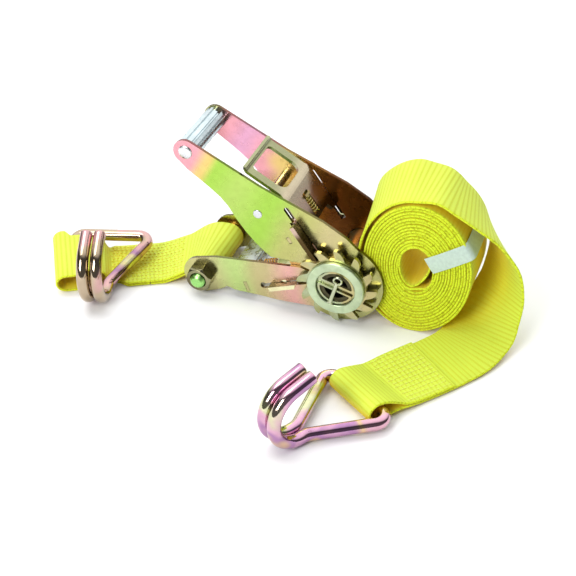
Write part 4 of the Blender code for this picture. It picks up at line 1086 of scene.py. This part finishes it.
def make_bolt():
    """The anchor bolt with its rolled thread and hexagon head, and the chamfered nut on it."""

    def turned(profile, steps=48):
        return lathe(BOLT_X, BOLT_Z, profile, steps)

    tip, head = -(FRAME_Y[1] + 11.5), FRAME_Y[1] + GAP
    profile = [(tip, 3.9), (tip + 0.35, 4.35), (tip + 1.1, BOLT_R - 0.35)]
    y = tip + 1.3
    while y < -FRAME_Y[1] - 8.6:
        profile += [(y, BOLT_R - 0.42), (y + 0.4, BOLT_R), (y + 0.7, BOLT_R), (y + 1.1, BOLT_R - 0.42)]
        y += 1.25
    profile += [(-FRAME_Y[1] - 8.2, BOLT_R), (head + 1.0, BOLT_R)]
    hexagon = turned([(head, NUT_R), (head + 6.8, NUT_R)], 6)
    cone = turned([(head - 1, NUT_R * 1.2), (head + 4.6, NUT_R * 1.06), (head + 6.9, NUT_R * 0.86)])
    bolt = joined(turned(profile), [joined(hexagon, [cone], "INTERSECT")])
    put("anchor_bolt_turned", bolt, "bolt", "frame", ["anchor_bolt"], 0.12, 30)
    hexagon = turned([(-head - 8.2, NUT_R), (-head, NUT_R)], 6)
    bmesh.ops.rotate(hexagon, verts=hexagon.verts, cent=(BOLT_X, 0, BOLT_Z),
                     matrix=Matrix.Rotation(radians(-12), 3, "Y"))
    shape = ((8.3, 0.84), (6.2, 1.02), (5.0, 1.2), (2.0, 1.2), (1.4, 1.03), (-0.1, 0.92))
    cone = turned([(-head - y, NUT_R * r) for y, r in shape])
    shape = ((9.0, 7.2), (7.3, BOLT_R + 0.12), (0.9, BOLT_R + 0.12), (-1.0, 7.0))
    bore = turned([(-head - y, r) for y, r in shape])
    nut = joined(joined(hexagon, [cone], "INTERSECT"), [bore], "DIFFERENCE")
    put("anchor_nut_chamfered", nut, "nut", "frame", ["anchor_nut"], 0.15, 30)


def ring_tube(x, z, y0, y1, outer, inner, edge=0.4, steps=64):
    bm = bmesh.new()
    profile = [(y0 + edge, outer), (y1 - edge, outer), (y1, outer - edge), (y1, inner + edge),
               (y1 - edge, inner), (y0 + edge, inner), (y0, inner + edge), (y0, outer - edge)]
    rings = []
    for k in range(steps):
        t = 2 * pi * k / steps
        rings.append([bm.verts.new((x + r * cos(t), y, z + r * sin(t))) for y, r in profile])
    skin(bm, rings, closed=True)
    return bm


def make_rivet(name, node, x, z, r, neck, head, wide):
    """A rod between the handle plates, its necked ends riveted over to domes."""
    inner, outer = HANDLE_Y[0] - GAP, HANDLE_Y[1] + 0.15
    turns = [radians(a) for a in (90, 72, 54, 36, 18, 4)]
    profile = [(outer + head * sin(t), wide * (0.30 + 0.70 * cos(t))) for t in turns]
    profile += [(outer, wide), (outer, neck), (inner, neck), (inner, r)]
    profile += [(-y, radius) for y, radius in reversed(profile)]
    put(name, lathe(x, z, profile, 40), "steel", "handle", [node], 0.0, 40)


make_bolt()
y = FRAME_Y[0] - GAP
put("anchor_sleeve_tube", ring_tube(BOLT_X, BOLT_Z, -y, y, SLEEVE_R, BOLT_R + 0.2), "sleeve", "frame",
    ["anchor_sleeve"], 0.0, 30)
make_rivet("grip_rod_turned", "grip_rod", GRIP_X, GRIP_Z, 3.7, 3.6, 1.2, 5.2)
make_rivet("handle_tie_rod_turned", "handle_tie_rod", TIE_X, TIE_Z, TIE_R, TIE_R - 1.0, 0.44, 3.4)
for end, sign in (("front", -1), ("rear", 1)):
    y0, y1 = sorted(sign * y for y in RING_Y)
    put(f"hub_ring_{end}_turned", ring_tube(0, AXIS_Z, y0, y1, RING_R, RING_BORE_R, 0.45, 96), "hub",
        "mandrel", [f"hub_ring_{end}"], 0.0, 30)


def half_outline(radius, floor_, side):
    """A D of the given radius whose flat side lies at height floor_, with eased corners."""
    begin = atan2(floor_, sqrt(radius * radius - floor_ * floor_)) + radians(6)
    edge = sqrt(radius * radius - floor_ * floor_)
    turns = [begin + (pi - 2 * begin) * k / 32 for k in range(33)]
    arc = [(radius * cos(t), radius * sin(t)) for t in turns]
    return [(edge - side, floor_), (edge - side * 0.3, floor_ + side * 0.12), *arc,
            (-(edge - side * 0.3), floor_ + side * 0.12), (side - edge, floor_)]


def make_half_shaft(name, turn):
    """Half of the mandrel: a rolled channel, open along the webbing slot, with lipped ends."""
    low, wall = SHAFT_SLOT / 2, SHAFT_WALL
    body, hollow = half_outline(SHAFT_R, low, 1.3), half_outline(SHAFT_R - wall, low + wall, 0.9)
    lip, pocket = half_outline(LIP_R, low, 1.6), half_outline(LIP_R - 1.5, low + 1.3, 1.2)
    c, s = cos(turn), sin(turn)
    bm = bmesh.new()

    def loop(outline, y):
        return [bm.verts.new((x * c - z * s, y, AXIS_Z + x * s + z * c)) for x, z in outline]

    back, deep, end = LIP_BACK, LIP_BACK + 0.3, SHAFT_END_Y
    outside = [loop(*pair) for pair in (
        (lip, -end), (lip, -back), (body, -back), (body, back), (lip, back), (lip, end))]
    inside = [loop(*pair) for pair in (
        (pocket, -end), (pocket, -deep), (hollow, -deep),
        (hollow, deep), (pocket, deep), (pocket, end))]
    # the channel's inner faces, bands 1 to 3, take the near-black material: painted shade
    for rings, dark in ((outside, ()), (inside[::-1], (1, 2, 3))):
        for i, (a, b) in enumerate(zip(rings, rings[1:])):
            for face in band(bm, a, b):
                face.material_index = int(i in dark)
    band(bm, inside[0], outside[0])
    band(bm, outside[-1], inside[-1])
    put(name + "_rolled", bm, "gear", "mandrel", [name], 0.0, 40, more=("shade",))


make_half_shaft("mandrel_half_upper", SLOT_TURN)
make_half_shaft("mandrel_half_lower", SLOT_TURN + pi)


def make_cotter(end, sign):
    """A split pin across the hub opening: eye at the top, legs spread a little below."""
    up = SLOT_TURN + pi / 2
    c, s = cos(up), sin(up)

    def at(reach, side):
        x, z = reach * c - side * s, reach * s + side * c
        return Vector((x, sign * PIN_Y, AXIS_Z + z))

    eye = [at(8.2 + 2.9 * sin(radians(t)), 2.9 * cos(radians(t))) for t in range(-60, 241, 12)]
    wire = rod([at(6.0, 0.9), at(6.6, 1.2), *eye, at(6.6, -1.2), at(6.0, -0.9)], 0.8, 14, 0.3)
    stem = rod([at(7.0 - 19.6 * k / 10, 0) for k in range(11)], 1.5, 20, 0.3)
    legs = [rod([at(-11.2, 0), at(-12.2, side * 0.45), at(-13.2, side)], 0.9, 14, 0.25)
            for side in (1.9, -1.9)]
    put(f"cotter_pin_{end}_bent", merged(stem, wire, *legs), "pin", "mandrel",
        [f"cotter_pin_{end}"], 0.0, 50)


for end, sign in (("front", -1), ("rear", 1)):
    make_cotter(end, sign)


# plates kept from the CAD ------------------------------------------------------------------

for node, mat, width in (
    ("handle_plate_front", "handle_front", 0.45), ("handle_plate_rear", "handle_rear", 0.45),
    ("frame_plate_front", "frame", 0.45), ("frame_plate_rear", "frame", 0.45),
    ("frame_cross_plate", "cross", 0.4), ("grip_sleeve", "grip", 0.3),
    ("frame_pawl", "frame_pawl", 0.4), ("handle_pawl", "handle_pawl", 0.5),
    ("handle_spring_seat", "seat", 0.35),
    ("ratchet_gear_front", "gear", 0.35), ("ratchet_gear_rear", "gear", 0.35),
):
    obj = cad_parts[node]
    for slot in obj.material_slots:
        slot.material = MATS[mat]
    soften(obj, width, 28)
